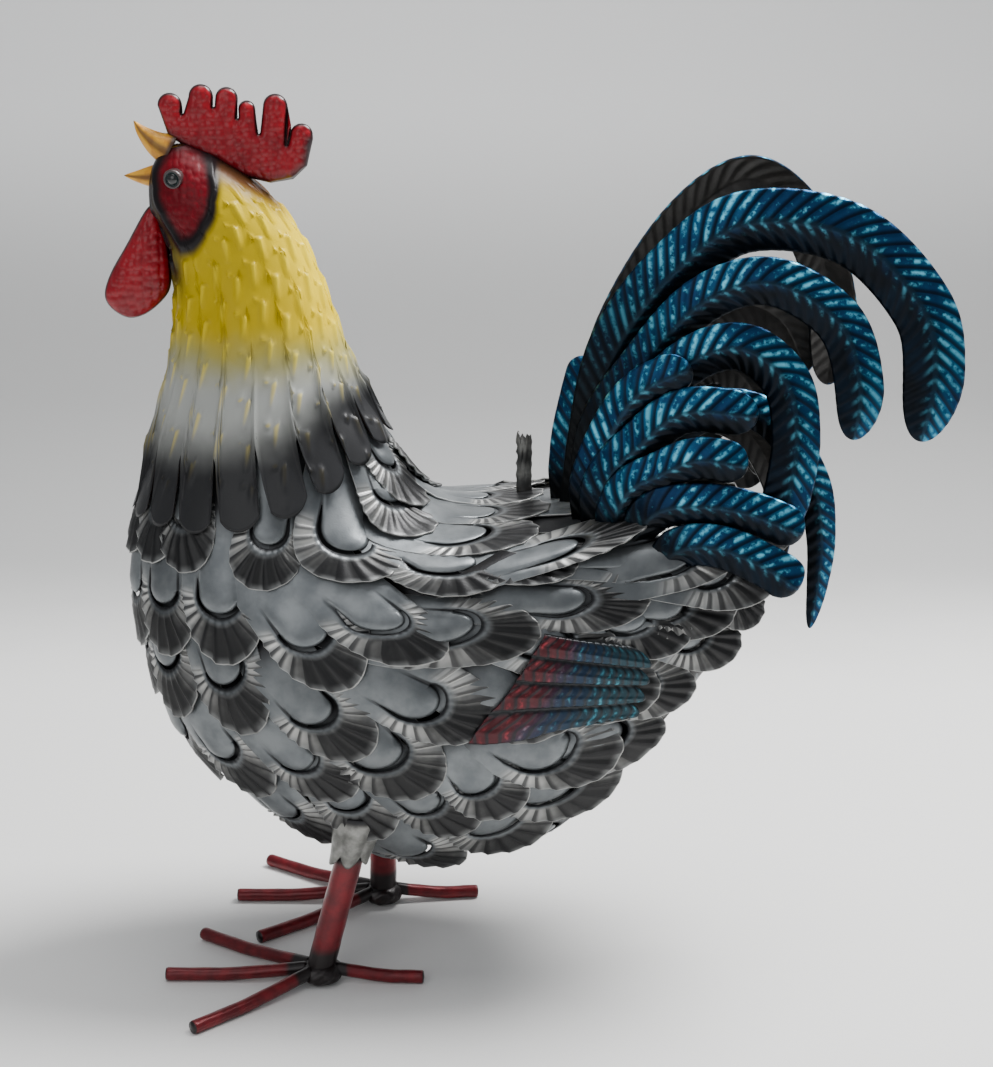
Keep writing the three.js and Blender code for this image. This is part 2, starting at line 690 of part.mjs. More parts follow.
// Head and neck with what is fixed to them.
const neck = neckShell();
const roundNeck = neckShell(clearance);
add("neck_shell", neck, "neck");
add("comb", cutBy(flatPiece(combOutline(), combThickness, 1.5), roundNeck), "comb");
add("wattle", cutBy(cushionPiece(wattleOutline, wattleThickness), roundNeck), "comb");
add("upper_beak", cutBy(beakHalf(upperBeak), roundNeck), "beak");
add("lower_beak", cutBy(beakHalf(lowerBeak), roundNeck), "beak");
for (const { word, side } of feet) add("eye_" + word, cutBy(eyeBoss(side), roundNeck), "eye");

// Body feathers, cut free of the legs.
const legHoles = feet.map(({ x, side }) => legTube(x, side, clearance));
const cuffs = feet.map(({ x, side }) => legCuff(x, side));
const grownRows = featherRows.map((_, index) => featherRow(index, clearance));
featherRows.forEach((row, index) => {
  add(row.name, cutBy(featherRow(index), ...legHoles), "steel");
});
for (const { word, side } of feet) add("wing_panel_" + word, cutBy(wingPanel(side), ...grownRows), "wing");
add("back_tab", cutBy(backTab(), ...grownRows), "steel");

// Tail.
for (const feather of tailFeathers) add(feather.name, cutBy(tailFeather(feather), ...grownRows), "tail");

// Legs and feet.
feet.forEach(({ word, side, x, toes }, index) => {
  add("leg_" + word, legTube(x, side), "leg");
  add("leg_cuff_" + word, cutBy(cuffs[index], ...grownRows), "steel");
  add("foot_weld_" + word, footHub(x, side), "toe");
  for (const [place, heading] of Object.entries(toes)) {
    const length = place === "rear" ? rearToeLength : frontToeLength;
    add(place + "_toe_" + word, toe(x, side, heading, toes.middle, length), "toe");
  }
});

// The origin is the middle of the bird's footprint, on the ground.
const box = new THREE.Box3().setFromObject(rooster);
const middle = box.getCenter(new THREE.Vector3());
for (const piece of rooster.children) piece.geometry.translate(-middle.x, -middle.y, -box.min.z);

export default rooster;
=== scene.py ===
# A garden rooster of pressed, cut and welded sheet steel: painted head and neck, rows of slotted
# feathers, folded tail feathers and rod feet. Shapes are worked out in millimetres in the bird's own
# measure (x from beak to tail, left side at -y), then set on the frame in metres.
import math
import bpy
import numpy as np
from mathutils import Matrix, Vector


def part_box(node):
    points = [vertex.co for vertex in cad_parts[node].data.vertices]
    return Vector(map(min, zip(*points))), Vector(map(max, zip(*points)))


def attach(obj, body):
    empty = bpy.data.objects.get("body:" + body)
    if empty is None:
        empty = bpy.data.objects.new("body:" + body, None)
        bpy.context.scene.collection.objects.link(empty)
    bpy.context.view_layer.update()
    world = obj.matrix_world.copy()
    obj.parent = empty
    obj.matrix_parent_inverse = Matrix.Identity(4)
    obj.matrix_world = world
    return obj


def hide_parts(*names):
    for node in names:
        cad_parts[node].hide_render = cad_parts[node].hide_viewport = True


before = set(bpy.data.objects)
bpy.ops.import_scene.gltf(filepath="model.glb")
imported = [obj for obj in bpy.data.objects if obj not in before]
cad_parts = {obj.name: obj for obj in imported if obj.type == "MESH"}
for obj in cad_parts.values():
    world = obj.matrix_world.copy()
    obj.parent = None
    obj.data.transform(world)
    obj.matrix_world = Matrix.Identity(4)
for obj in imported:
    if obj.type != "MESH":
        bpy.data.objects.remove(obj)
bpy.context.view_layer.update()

permille = 0.541                 # outlines are in thousandths of the bird's height, this many mm each
hubPlace = np.array([-107.713, -53.64])  # middle of the left weld hub in the bird's own measure, mm
hubLow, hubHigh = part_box("foot_weld_left")
shift = np.zeros(3)
shift[:2] = (np.array(hubLow)[:2] + np.array(hubHigh)[:2]) * 500 - hubPlace


def gridFaces(rows, columns, closed=False):
    # quads of a grid of points listed row by row; closed joins the last column to the first
    across = columns if closed else columns - 1
    i, j = np.meshgrid(np.arange(rows - 1), np.arange(across), indexing="ij")
    k = (j + 1) % columns
    corners = [i * columns + j, i * columns + k, (i + 1) * columns + k, (i + 1) * columns + j]
    return np.stack(corners, axis=-1).reshape(-1, 4)


def makePiece(name, points, faces, materials, layers=None, sheet=0.0, facing=None,
              replaced=(), smooth=True):
    # points in mm, quads by index; doubled points are merged, and faces are turned outwards by the
    # sign of the volume, or by the facing vectors of an open sheet, which then gets its thickness
    points = np.asarray(points, float).reshape(-1, 3)
    rounded, first, index = np.unique(
        np.round(points, 3), axis=0, return_index=True, return_inverse=True)
    faces = index.reshape(-1)[np.asarray(faces)]
    same = faces == np.roll(faces, -1, axis=1)
    twins = same.sum(axis=1)
    quads = faces[twins == 0]
    bent = faces[twins == 1]
    triangles = bent[~same[twins == 1]].reshape(-1, 3)
    allTriangles = np.concatenate([quads[:, :3], quads[:, [0, 2, 3]], triangles])
    a, b, c = (rounded[allTriangles[:, n]] for n in range(3))
    normal = np.cross(b - a, c - a)
    if facing is None:
        turn = np.einsum("ij,ij->", a, normal)
    else:
        away = np.asarray(facing, float).reshape(-1, 3)[first]
        turn = np.einsum("ij,ij->", away[allTriangles[:, 0]], normal)
    if turn < 0:
        quads = quads[:, ::-1]
        triangles = triangles[:, ::-1]
    mesh = bpy.data.meshes.new(name)
    mesh.vertices.add(len(rounded))
    mesh.vertices.foreach_set("co", ((rounded + shift) / 1000).ravel())
    mesh.loops.add(quads.size + triangles.size)
    mesh.loops.foreach_set("vertex_index", np.concatenate([quads.ravel(), triangles.ravel()]))
    mesh.polygons.add(len(quads) + len(triangles))
    starts = np.concatenate([np.arange(len(quads)) * 4, quads.size + np.arange(len(triangles)) * 3])
    mesh.polygons.foreach_set("loop_start", starts)
    mesh.polygons.foreach_set("use_smooth", np.full(len(starts), smooth))
    mesh.update(calc_edges=True)
    mesh.validate()
    for layerName, values in (layers or {}).items():
        layer = mesh.attributes.new(layerName, "FLOAT", "POINT")
        layer.data.foreach_set("value", np.asarray(values, float).reshape(-1)[first])
    for material in materials:
        mesh.materials.append(material)
    piece = bpy.data.objects.new(name, mesh)
    bpy.context.scene.collection.objects.link(piece)
    if sheet:
        wall = piece.modifiers.new("wall", "SOLIDIFY")
        wall.thickness = sheet / 1000
        wall.offset = -1
        wall.material_offset = len(materials) - 1
    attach(piece, "root")
    if replaced:
        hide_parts(*replaced)
    return piece


def wholeTurn(count):
    # evenly spaced headings round a circle
    return np.linspace(0, 2 * np.pi, count + 1)[:-1]


def smoothStep(value, low, high):
    # 0 below low and 1 above high, 3 s squared - 2 s cubed between
    share = np.clip((value - low) / (high - low), 0, 1)
    return share * share * (3 - 2 * share)


def smoothBetween(a, b, c, d, t):
    # Catmull-Rom: from b to c as t runs from 0 to 1, with the slopes (c - a) / 2 and (d - b) / 2
    square, cube = 2 * a - 5 * b + 4 * c - d, 3 * b - a - 3 * c + d
    return b + 0.5 * ((c - a) * t + square * t ** 2 + cube * t ** 3)


def lengthsAlong(points):
    # length of the chain of lines from its first point to each of the others
    return np.concatenate([[0], np.cumsum(np.linalg.norm(np.diff(points, axis=0), axis=1))])


def routePoints(points, shares):
    # smooth curve through the points, read at shares of its length
    points = np.asarray(points, float)
    padded = np.concatenate([[2 * points[0] - points[1]], points, [2 * points[-1] - points[-2]]])
    t = np.linspace(0, len(points) - 1 - 1e-9, 40 * len(points))
    i = t.astype(int)
    u = (t - i)[:, None]
    a, b, c, d = (padded[i + n] for n in range(4))
    curve = smoothBetween(a, b, c, d, u)
    length = lengthsAlong(curve)
    at = np.asarray(shares) * length[-1]
    return np.stack([np.interp(at, length, curve[:, n]) for n in range(points.shape[1])], axis=-1)


current = {"tree": None}         # the material being made
coatRoughness = 0.2


def feed(socket, value):
    if isinstance(value, bpy.types.NodeSocket):
        socket.id_data.links.new(value, socket)
    else:
        socket.default_value = value


def newMaterial(name, roughness, metallic, coat=0.0, specular=0.5):
    # the nodes made from here on go into this material
    material = bpy.data.materials.new(name)
    material.use_nodes = True
    current["tree"] = material.node_tree
    shader = material.node_tree.nodes["Principled BSDF"]
    shader.inputs["Roughness"].default_value = roughness
    shader.inputs["Metallic"].default_value = metallic
    shader.inputs["Coat Weight"].default_value = coat
    shader.inputs["Specular IOR Level"].default_value = specular
    shader.inputs["Coat Roughness"].default_value = coatRoughness
    return material, shader


def newNode(kind):
    return current["tree"].nodes.new("ShaderNode" + kind)


def step(operation, first, second=0.0, third=0.0):
    node = newNode("Math")
    node.operation = operation
    for socket, value in zip(node.inputs, (first, second, third)):
        feed(socket, value)
    return node.outputs[0]


def ease(value, low, high, most=1.0):
    # 0 below low and most above high, smooth between; the other way round when low is the greater
    node = newNode("MapRange")
    node.interpolation_type = "SMOOTHSTEP"
    feed(node.inputs["Value"], value)
    feed(node.inputs["From Min"], low)
    feed(node.inputs["From Max"], high)
    feed(node.inputs["To Max"], most)
    return node.outputs[0]


def product(*values):
    total = values[0]
    for value in values[1:]:
        total = step("MULTIPLY", total, value)
    return total


def mixed(share, first, second):
    node = newNode("Mix")
    node.data_type = "RGBA"
    feed(node.inputs[0], share)
    feed(node.inputs[6], first if isinstance(first, bpy.types.NodeSocket) else (*first, 1))
    feed(node.inputs[7], second if isinstance(second, bpy.types.NodeSocket) else (*second, 1))
    return node.outputs[2]


def layer(name):
    node = newNode("Attribute")
    node.attribute_name = name
    return node.outputs["Fac"]


def objectPlace(stretch=(1, 1, 1)):
    place = newNode("TexCoord").outputs["Object"]
    if stretch == (1, 1, 1):
        return place
    node = newNode("Mapping")
    feed(node.inputs["Vector"], place)
    node.inputs["Scale"].default_value = stretch
    return node.outputs[0]


def noise(scale, detail=3.0, place=None, roughness=0.55):
    node = newNode("TexNoise")
    feed(node.inputs["Vector"], place or objectPlace())
    node.inputs["Scale"].default_value = scale
    node.inputs["Detail"].default_value = detail
    node.inputs["Roughness"].default_value = roughness
    return node.outputs["Fac"]


def bump(shader, height, distance, strength=1.0):
    node = newNode("Bump")
    node.inputs["Strength"].default_value = strength
    node.inputs["Distance"].default_value = distance / 1000
    feed(node.inputs["Height"], height)
    feed(shader.inputs["Normal"], node.outputs[0])


def placePart(axis):
    # one part of the place: 0 to the tail, 1 to the right, 2 up
    node = newNode("SeparateXYZ")
    feed(node.inputs[0], objectPlace())
    return node.outputs[axis]


featherTints = {"dark": (0.12, 0.132, 0.14), "pale": (0.2, 0.215, 0.222),
    "bare": (0.5, 0.5, 0.48), "groove": (0.035, 0.035, 0.037), "blot": (0.008, 0.008, 0.009),
    "slotEdge": (0.012, 0.012, 0.014), "root": (0.02, 0.02, 0.022)}


def featherPaint():
    # reach runs 0 at the tongue's middle, 1 at its edge, 2 at the outline; round is 0 under the
    # tongue and grows up its arms; ray counts the pleats; tone is each feather's own brightness
    material, shader = newMaterial("brushed_grey_feather", 0.4, 0.55)
    reach, around, ray, along, tone = (layer(n) for n in ("reach", "round", "ray", "along", "tone"))
    side = step("ABSOLUTE", around)
    fine = noise(900, 2)
    cloud = noise(60, 3)
    grey = mixed(ease(cloud, 0.3, 0.7), featherTints["dark"], featherTints["pale"])
    # the pressed rim is bare steel, brush-finished and light; painted shade darkens one flank of each
    # pleat, so each has one light and one dark flank
    rim = product(ease(reach, 1.12, 1.3), ease(side, 1.3, 0.8))
    colour = mixed(product(rim, ease(reach, 2.3, 1.5)), grey, featherTints["bare"])
    pleat = step("FRACT", ray)
    line = product(ease(pleat, 0.4, 0.72), ease(pleat, 1.0, 0.9), rim)
    colour = mixed(product(line, 0.85), colour, featherTints["groove"])
    # airbrushed black over the middle pleats; the black on the slot's edges is partly airbrush and partly
    # painted shade of the slot
    wobble = step("MULTIPLY_ADD", cloud, 0.35, -0.17)
    middle = ease(step("ADD", side, wobble), 0.85, 0.18)
    tipBlot = product(middle, ease(reach, 1.02, 1.25), ease(reach, 2.15, 1.8))
    colour = mixed(product(tipBlot, 0.97), colour, featherTints["blot"])
    slotEdge = product(ease(reach, 0.93, 1.0), ease(reach, 1.12, 1.03), ease(side, 2.0, 1.2))
    colour = mixed(product(slotEdge, 0.9), colour, featherTints["slotEdge"])
    # painted shade: the roots, under the row above, are painted black
    colour = mixed(ease(along, 0.36, 0.16), colour, featherTints["root"])
    bright = mixed(ease(reach, 1.965, 1.995, 0.6), colour, featherTints["bare"])
    scale = newNode("VectorMath")
    scale.operation = "SCALE"
    feed(scale.inputs[0], bright)
    feed(scale.inputs["Scale"], tone)
    feed(shader.inputs["Base Color"], scale.outputs[0])
    feed(shader.inputs["Roughness"], step("MULTIPLY_ADD", fine, 0.22, 0.27))
    bump(shader, fine, 0.15, 0.5)
    return material


def darkSide(name, colour, roughness=0.6):
    material, shader = newMaterial(name, roughness, 0.3)
    cloud = noise(90, 4)
    dim = tuple(0.45 * c for c in colour)
    feed(shader.inputs["Base Color"], mixed(ease(cloud, 0.3, 0.7), dim, colour))
    bump(shader, noise(500, 3), 0.2, 0.5)
    return material


neckTints = {"shaded": (0.5, 0.36, 0.0), "lit": (0.8, 0.58, 0.0), "ochre": (0.34, 0.22, 0.003),
    "fading": (0.34, 0.31, 0.1), "pale": (0.36, 0.37, 0.35), "ridge": (0.9, 0.7, 0.02),
    "smoke": (0.012, 0.012, 0.014), "brown": (0.12, 0.04, 0.004),
    "underComb": (0.01, 0.006, 0.006), "throat": (0.012, 0.01, 0.012), "face": (0.2, 0.002, 0.01),
    "faceDeep": (0.12, 0.001, 0.006), "rim": (0.008, 0.006, 0.007)}


def neckPaint():
    material, shader = newMaterial("yellow_to_black_neck", 0.4, 0.0, 0.0, 0.18)
    height = placePart(2)
    cloud = noise(26, 3)
    fine = noise(700, 2)
    drift = step("MULTIPLY_ADD", cloud, 0.03, -0.015)
    level = step("ADD", height, drift)
    ridge, angle, face = (layer(n) for n in ("ridge", "angle", "face"))
    hemward, crown = layer("hemward"), layer("crown")
    lit = mixed(ease(angle, 75, 20), neckTints["shaded"], neckTints["lit"])
    yellow = mixed(ease(cloud, 0.4, 0.8, 0.35), lit, neckTints["ochre"])
    colour = mixed(ease(level, 0.412, 0.384), yellow, neckTints["fading"])
    colour = mixed(ease(level, 0.394, 0.368), colour, neckTints["pale"])
    # painted highlight: brighter yellow on the crests of the pressed ridges
    colour = mixed(product(ease(ridge, 0.25, 0.9), 0.4), colour, neckTints["ridge"])
    smoke = ease(step("ADD", hemward, step("MULTIPLY_ADD", cloud, 16.0, -8.0)), 54, 22)
    colour = mixed(product(smoke, 0.97), colour, neckTints["smoke"])
    # painted shade: brown and near-black under the comb, and near-black down the front of the throat
    # behind the wattle
    colour = mixed(ease(crown, -14, -2), colour, neckTints["brown"])
    colour = mixed(ease(crown, -6, 3), colour, neckTints["underComb"])
    throat = product(ease(angle, 128, 160), ease(height, 0.405, 0.44))
    colour = mixed(throat, colour, neckTints["throat"])
    # the face: crimson inside its raised black rim
    beads = noise(200, 2)
    red = mixed(ease(beads, 0.1, 0.6), neckTints["face"], neckTints["faceDeep"])
    colour = mixed(ease(face, 1.42, 1.12), colour, neckTints["rim"])
    colour = mixed(ease(face, 0.98, 0.72), colour, red)
    feed(shader.inputs["Base Color"], colour)
    feed(shader.inputs["Roughness"], step("MULTIPLY_ADD", fine, 0.2, 0.24))
    bump(shader, fine, 0.12, 0.4)
    return material


crimsonTints = {"bright": (0.29, 0.002, 0.01), "deep": (0.19, 0.001, 0.007),
    "edge": (0.012, 0.002, 0.003), "root": (0.02, 0.008, 0.01)}


def crimsonPaint():
    # edge is the distance in mm from the outline
    material, shader = newMaterial("hammered_crimson", 0.3, 0.0, 0.15, 0.35)
    edge, low = layer("edge"), layer("low")
    cloud = noise(70, 3)
    red = mixed(ease(cloud, 0.35, 0.7), crimsonTints["bright"], crimsonTints["deep"])
    colour = mixed(ease(edge, 1.7, 0.4), red, crimsonTints["edge"])
    colour = mixed(ease(step("MULTIPLY_ADD", cloud, 6.0, low), 9, 3), colour, crimsonTints["root"])
    feed(shader.inputs["Base Color"], colour)
    feed(shader.inputs["Roughness"], step("MULTIPLY_ADD", cloud, 0.2, 0.22))
    bump(shader, noise(500, 2), 0.15, 0.4)
    return material


beakTints = {"pale": (0.8, 0.4, 0.03), "deep": (0.6, 0.24, 0.016), "dark": (0.05, 0.022, 0.012)}


def beakPaint():
    material, shader = newMaterial("ochre_beak", 0.38, 0.0, 0.1, 0.35)
    edge = layer("edge")
    cloud = noise(200, 4)
    horn = mixed(ease(cloud, 0.35, 0.7), beakTints["pale"], beakTints["deep"])
    feed(shader.inputs["Base Color"], mixed(edge, horn, beakTints["dark"]))
    bump(shader, noise(600, 3), 0.2, 0.5)
    return material


eyeTints = {"pupil": (0.004, 0.005, 0.005), "iris": (0.03, 0.05, 0.05),
    "ring": (0.05, 0.03, 0.03)}


def eyePaint():
    material, shader = newMaterial("glossy_eye", 0.12, 0.2, 0.8)
    ring = layer("ring")
    iris = mixed(ease(ring, 0.5, 0.6), eyeTints["pupil"], eyeTints["iris"])
    feed(shader.inputs["Base Color"], mixed(ease(ring, 0.72, 0.8), iris, eyeTints["ring"]))
    feed(shader.inputs["Roughness"], ease(ring, 0.5, 0.8, 0.4))
    return material


tailTints = {"black": (0.0015, 0.003, 0.005), "navy": (0.002, 0.009, 0.02),
    "blue": (0.002, 0.03, 0.09), "sea": (0.006, 0.09, 0.19), "groove": (0.002, 0.004, 0.008),
    "glint": (0.15, 0.6, 0.8), "spine": (0.01, 0.03, 0.05), "root": (0.004, 0.005, 0.006)}


def tailPaint(name, shade):
    # across runs -1 on the outer edge to 1 on the inner one, rib counts the chevrons; shade scales the
    # painted light and painted highlights, and is lower on the far side's copy as painted shade
    material, shader = newMaterial(name, 0.36, 0.7, 0.0, 0.3)
    across, along, rib = (layer(n) for n in ("across", "along", "rib"))
    cloud = noise(45, 3)
    streak = noise(260, 3)
    navy = mixed(ease(cloud, 0.35, 0.7), tailTints["black"], tailTints["navy"])
    blue = mixed(ease(cloud, 0.3, 0.75), tailTints["blue"], tailTints["sea"])
    lit = ease(step("MULTIPLY_ADD", cloud, 0.9, across), 0.8, -0.1)
    lit = product(lit, ease(along, 0.1, 0.5))
    colour = mixed(product(lit, shade), navy, blue)
    # painted shade in the grooves of the ribs
    wave = step("FRACT", rib)
    groove = product(ease(wave, 0.45, 0.8), ease(wave, 1.0, 0.9))
    colour = mixed(product(groove, 0.8), colour, tailTints["groove"])
    # painted highlight: bright paint on the crests of the ribs, broken up, mostly on the outer half and
    # the upper part of the arc
    crest = product(ease(wave, 0.0, 0.25), ease(wave, 0.6, 0.3))
    crestGlintBreakup = ease(step("MULTIPLY_ADD", cloud, 0.9, streak), 0.86, 1.12)
    upper = product(ease(along, 0.12, 0.5), ease(along, 1.2, 0.75))
    glint = product(crest, crestGlintBreakup, ease(across, 0.45, -0.35), upper, shade)
    colour = mixed(glint, colour, tailTints["glint"])
    spine = ease(step("ABSOLUTE", across), 0.14, 0.05)
    colour = mixed(product(spine, 0.6), colour, tailTints["spine"])
    # painted shade: near-black towards the root, where it goes in under the body
    colour = mixed(ease(along, 0.42, 0.12), colour, tailTints["root"])
    feed(shader.inputs["Base Color"], colour)
    feed(shader.inputs["Roughness"], step("MULTIPLY_ADD", streak, 0.2, 0.24))
    bump(shader, streak, 0.15, 0.5)
    return material


wingTints = {"red": (0.06, 0.004, 0.008), "blue": (0.004, 0.018, 0.045),
    "teal": (0.005, 0.032, 0.045), "groove": (0.005, 0.007, 0.01), "redGlint": (0.26, 0.02, 0.03),
    "tealGlint": (0.05, 0.25, 0.33), "edge": (0.012, 0.014, 0.016)}


def wingPaint():
    material, shader = newMaterial("red_blue_teal_wing", 0.36, 0.55, 0.15)
    along, rib, strip = (layer(n) for n in ("along", "rib", "strip"))
    cloud = noise(80, 3)
    level = step("MULTIPLY_ADD", cloud, 0.3, step("SUBTRACT", along, 0.15))
    colour = mixed(ease(level, 0.15, 0.4), wingTints["red"], wingTints["blue"])
    colour = mixed(ease(level, 0.4, 0.75), colour, wingTints["teal"])
    wave = step("FRACT", rib)
    # painted shade in the grooves of the ribs
    groove = product(ease(wave, 0.5, 0.8), ease(wave, 1.0, 0.9))
    colour = mixed(product(groove, 0.85), colour, wingTints["groove"])
    # painted highlight: red and teal on the crests of the ribs, broken up by noise
    glint = product(ease(wave, 0.05, 0.25), ease(wave, 0.5, 0.3), ease(cloud, 0.42, 0.62))
    ribGlintColour = mixed(ease(level, 0.2, 0.4), wingTints["redGlint"], wingTints["tealGlint"])
    ribGlintBreakup = ease(noise(260, 3), 0.4, 0.65)
    colour = mixed(product(glint, ribGlintBreakup), colour, ribGlintColour)
    # painted shade along the edges of the strips, where they meet
    colour = mixed(ease(strip, 0.72, 0.96), colour, wingTints["edge"])
    feed(shader.inputs["Base Color"], colour)
    bump(shader, noise(600, 2), 0.15, 0.5)
    return material


rodTints = {"deep": (0.1, 0.004, 0.008), "bright": (0.2, 0.008, 0.014),
    "sootAndShade": (0.012, 0.008, 0.008)}


def rodPaint():
    # the layer is 1 at the welds and cut ends, which are sooted, and on the leg from just under its cuff
    # upwards, where it is painted shade
    material, shader = newMaterial("dark_red_rod", 0.4, 0.35, 0.15)
    sootAndShade = layer("sootAndShade")
    cloud = noise(120, 4)
    red = mixed(ease(cloud, 0.3, 0.75), rodTints["deep"], rodTints["bright"])
    burntAndShaded = step("ADD", sootAndShade, step("MULTIPLY_ADD", cloud, 0.5, -0.25))
    feed(shader.inputs["Base Color"], mixed(ease(burntAndShaded, 0.25, 0.75), red, rodTints["sootAndShade"]))
    feed(shader.inputs["Roughness"], step("MULTIPLY_ADD", cloud, 0.3, 0.22))
    bump(shader, noise(400, 4), 0.3, 0.6)
    return material


steelTints = {"dark": (0.14, 0.14, 0.13), "bright": (0.34, 0.34, 0.32),
    "sootAndShade": (0.02, 0.02, 0.022)}


def steelPaint():
    material, shader = newMaterial("bare_grey_steel", 0.4, 0.6)
    dim = layer("sootAndShade")
    cloud = noise(110, 4)
    grey = mixed(ease(cloud, 0.3, 0.7), steelTints["dark"], steelTints["bright"])
    feed(shader.inputs["Base Color"], mixed(ease(dim, 0.1, 0.9), grey, steelTints["sootAndShade"]))
    bump(shader, noise(350, 3), 0.3, 0.6)
    return material


featherLook = featherPaint()
featherInner = darkSide("dark_feather_back", (0.05, 0.048, 0.045))
neckLook = neckPaint()
crimsonLook = crimsonPaint()
beakLook = beakPaint()
eyeLook = eyePaint()
tailLook = tailPaint("blue_chevron_tail", 1.0)
# the far side's copy: less of the lit blue and of the painted highlights, as painted shade
tailFarLook = tailPaint("shaded_blue_chevron_tail", 0.8)
tailInner = darkSide("dark_brown_tail_back", (0.03, 0.028, 0.026), 0.4)
wingLook = wingPaint()
rodLook = rodPaint()
steelLook = steelPaint()
print("materials ready")


# rings across the bird from crown to rear: back x and z, front x and z, half width, squareness
rings = np.array([
    [-325, 938, -352, 932, 12, 0], [-290, 920, -367, 908, 34, 0], [-255, 896, -369, 874, 49, 0],
    [-220, 857, -354, 838, 55, 0], [-194, 808, -347, 793, 60, 0], [-168, 732, -353, 718, 74, 0],
    [-144, 651, -378, 591, 92, 0], [-78, 549, -396, 484, 122, 0.05], [52, 543, -384, 384, 146, 0.15],
    [152, 551, -348, 287, 157, 0.2], [229, 532, -248, 189, 152, 0.2], [281, 495, -104, 126, 135, 0.2],
    [311, 444, 63, 126, 104, 0.15], [300, 404, 125, 180, 74, 0.1], [278, 356, 180, 245, 40, 0],
    [236, 308, 226, 296, 6, 0]], float)
neckRings = 6                    # ring 6 is place 0, the head has the negative places


def ringAt(place):
    # Catmull-Rom between the listed rings, for any array of places
    along = np.clip(np.asarray(place, float) + neckRings, 0, len(rings) - 1)
    i = np.minimum(along.astype(int), len(rings) - 2)
    t = (along - i)[..., None]
    a, b, c, d = (rings[np.clip(i + n, 0, len(rings) - 1)] for n in (-1, 0, 1, 2))
    return smoothBetween(a, b, c, d, t)


def skin(place, angle, lift=0.0):
    # middle of the ring, plus cos^power along its height and sin^power along its width, both grown by
    # the lift; angle 0 is the back, 180 the breast, the left side lies between
    ring = ringAt(place)
    back = ring[..., 0:2] * permille
    front = ring[..., 2:4] * permille
    middle = (back + front) / 2
    half = np.linalg.norm(back - front, axis=-1) / 2
    up = (back - middle) / np.maximum(half, 1e-6)[..., None]
    power = 1 - ring[..., 5]
    turn = np.radians(angle)
    cosine, sine = np.cos(turn), np.sin(turn)
    tall = np.sign(cosine) * np.abs(cosine) ** power * (half + lift)
    wide = -np.sign(sine) * np.abs(sine) ** power * (ring[..., 4] * permille + lift)
    x, z = middle[..., 0] + up[..., 0] * tall, middle[..., 1] + up[..., 1] * tall
    return np.stack([x, wide, z], axis=-1)


def pitchAt(place, angle):
    # mm of skin for one unit of place
    return np.linalg.norm(skin(place + 0.05, angle) - skin(place - 0.05, angle), axis=-1) / 0.1


def spreadAt(place, angle):
    # mm of skin for one degree of angle
    return np.linalg.norm(skin(place, angle + 2.0) - skin(place, angle - 2.0), axis=-1) / 4.0


def tipLine(row, angle):
    # place of the row's tips: from back to breast by a cosine, and further on at the sides
    a = np.radians(angle)
    share = (1 - np.cos(a)) / 2
    return row["back"] + (row["breast"] - row["back"]) * share + row["sag"] * np.abs(np.sin(a)) ** 3


view = {"back": 1303.0, "height": 690.0, "pitch": 17.75, "focal": 2265.0,  # mm, degrees, pixels
        "frameWidth": 993.0, "frameHeight": 1067.0}

feather = {
    "halfWidest": 29.0, "halfNarrowest": 18.0, "share": 0.58,  # half width, and that of the spacing
    "under": 50.0, "longest": 140.0,    # root hidden under the row before, and the greatest length
    "acrossLean": 40, "acrossLength": 92.0, "rumpFlare": 22.0,  # those that lie almost across
    "tongue": 0.5, "tipRound": 1.5,     # tongue's radius and length of the tip, of the half width
    "rim": 31.0, "rimMost": 0.36,       # from the tongue's end to the tip, and most of the length
    "rootWidth": 0.86, "rootEnd": 0.45,  # narrower at the root, and how far along
    "slot": 3.4, "slotFor": 30.0,       # width of the slot in a feather of this half width
    "sink": 3.0, "hemSink": 4.5,        # root pressed down, and more so under the neck's hem
    "pleats": 13, "pleatRise": 2.1, "pleatSteps": 5, "pleatCrest": 0.76,
    "slotDip": 1.0, "tongueRise": 1.5, "crown": 2.4, "overlap": 1.8, "sheet": 1.1,
    "flare": 8.0, "rearFlare": 4.8, "capFlare": 2.0, "capInset": [15.0, 0.0, -12.0],
    "turnedBy": 2.0, "movedBy": 0.08,   # by chance on the right side, degrees and place
    "sizes": [0.96, 1.04], "tones": [0.8, 1.12],
    "shortArm": [0.8, 1.25], "longArm": [1.2, 1.8], "swapped": 0.45,  # how far the slot's arms reach
    "sideRows": 8, "armWiden": 0.6,
    "tipLift": 9.0, "tongueLift": 5.0,  # height over the skin where the photo shows them
}
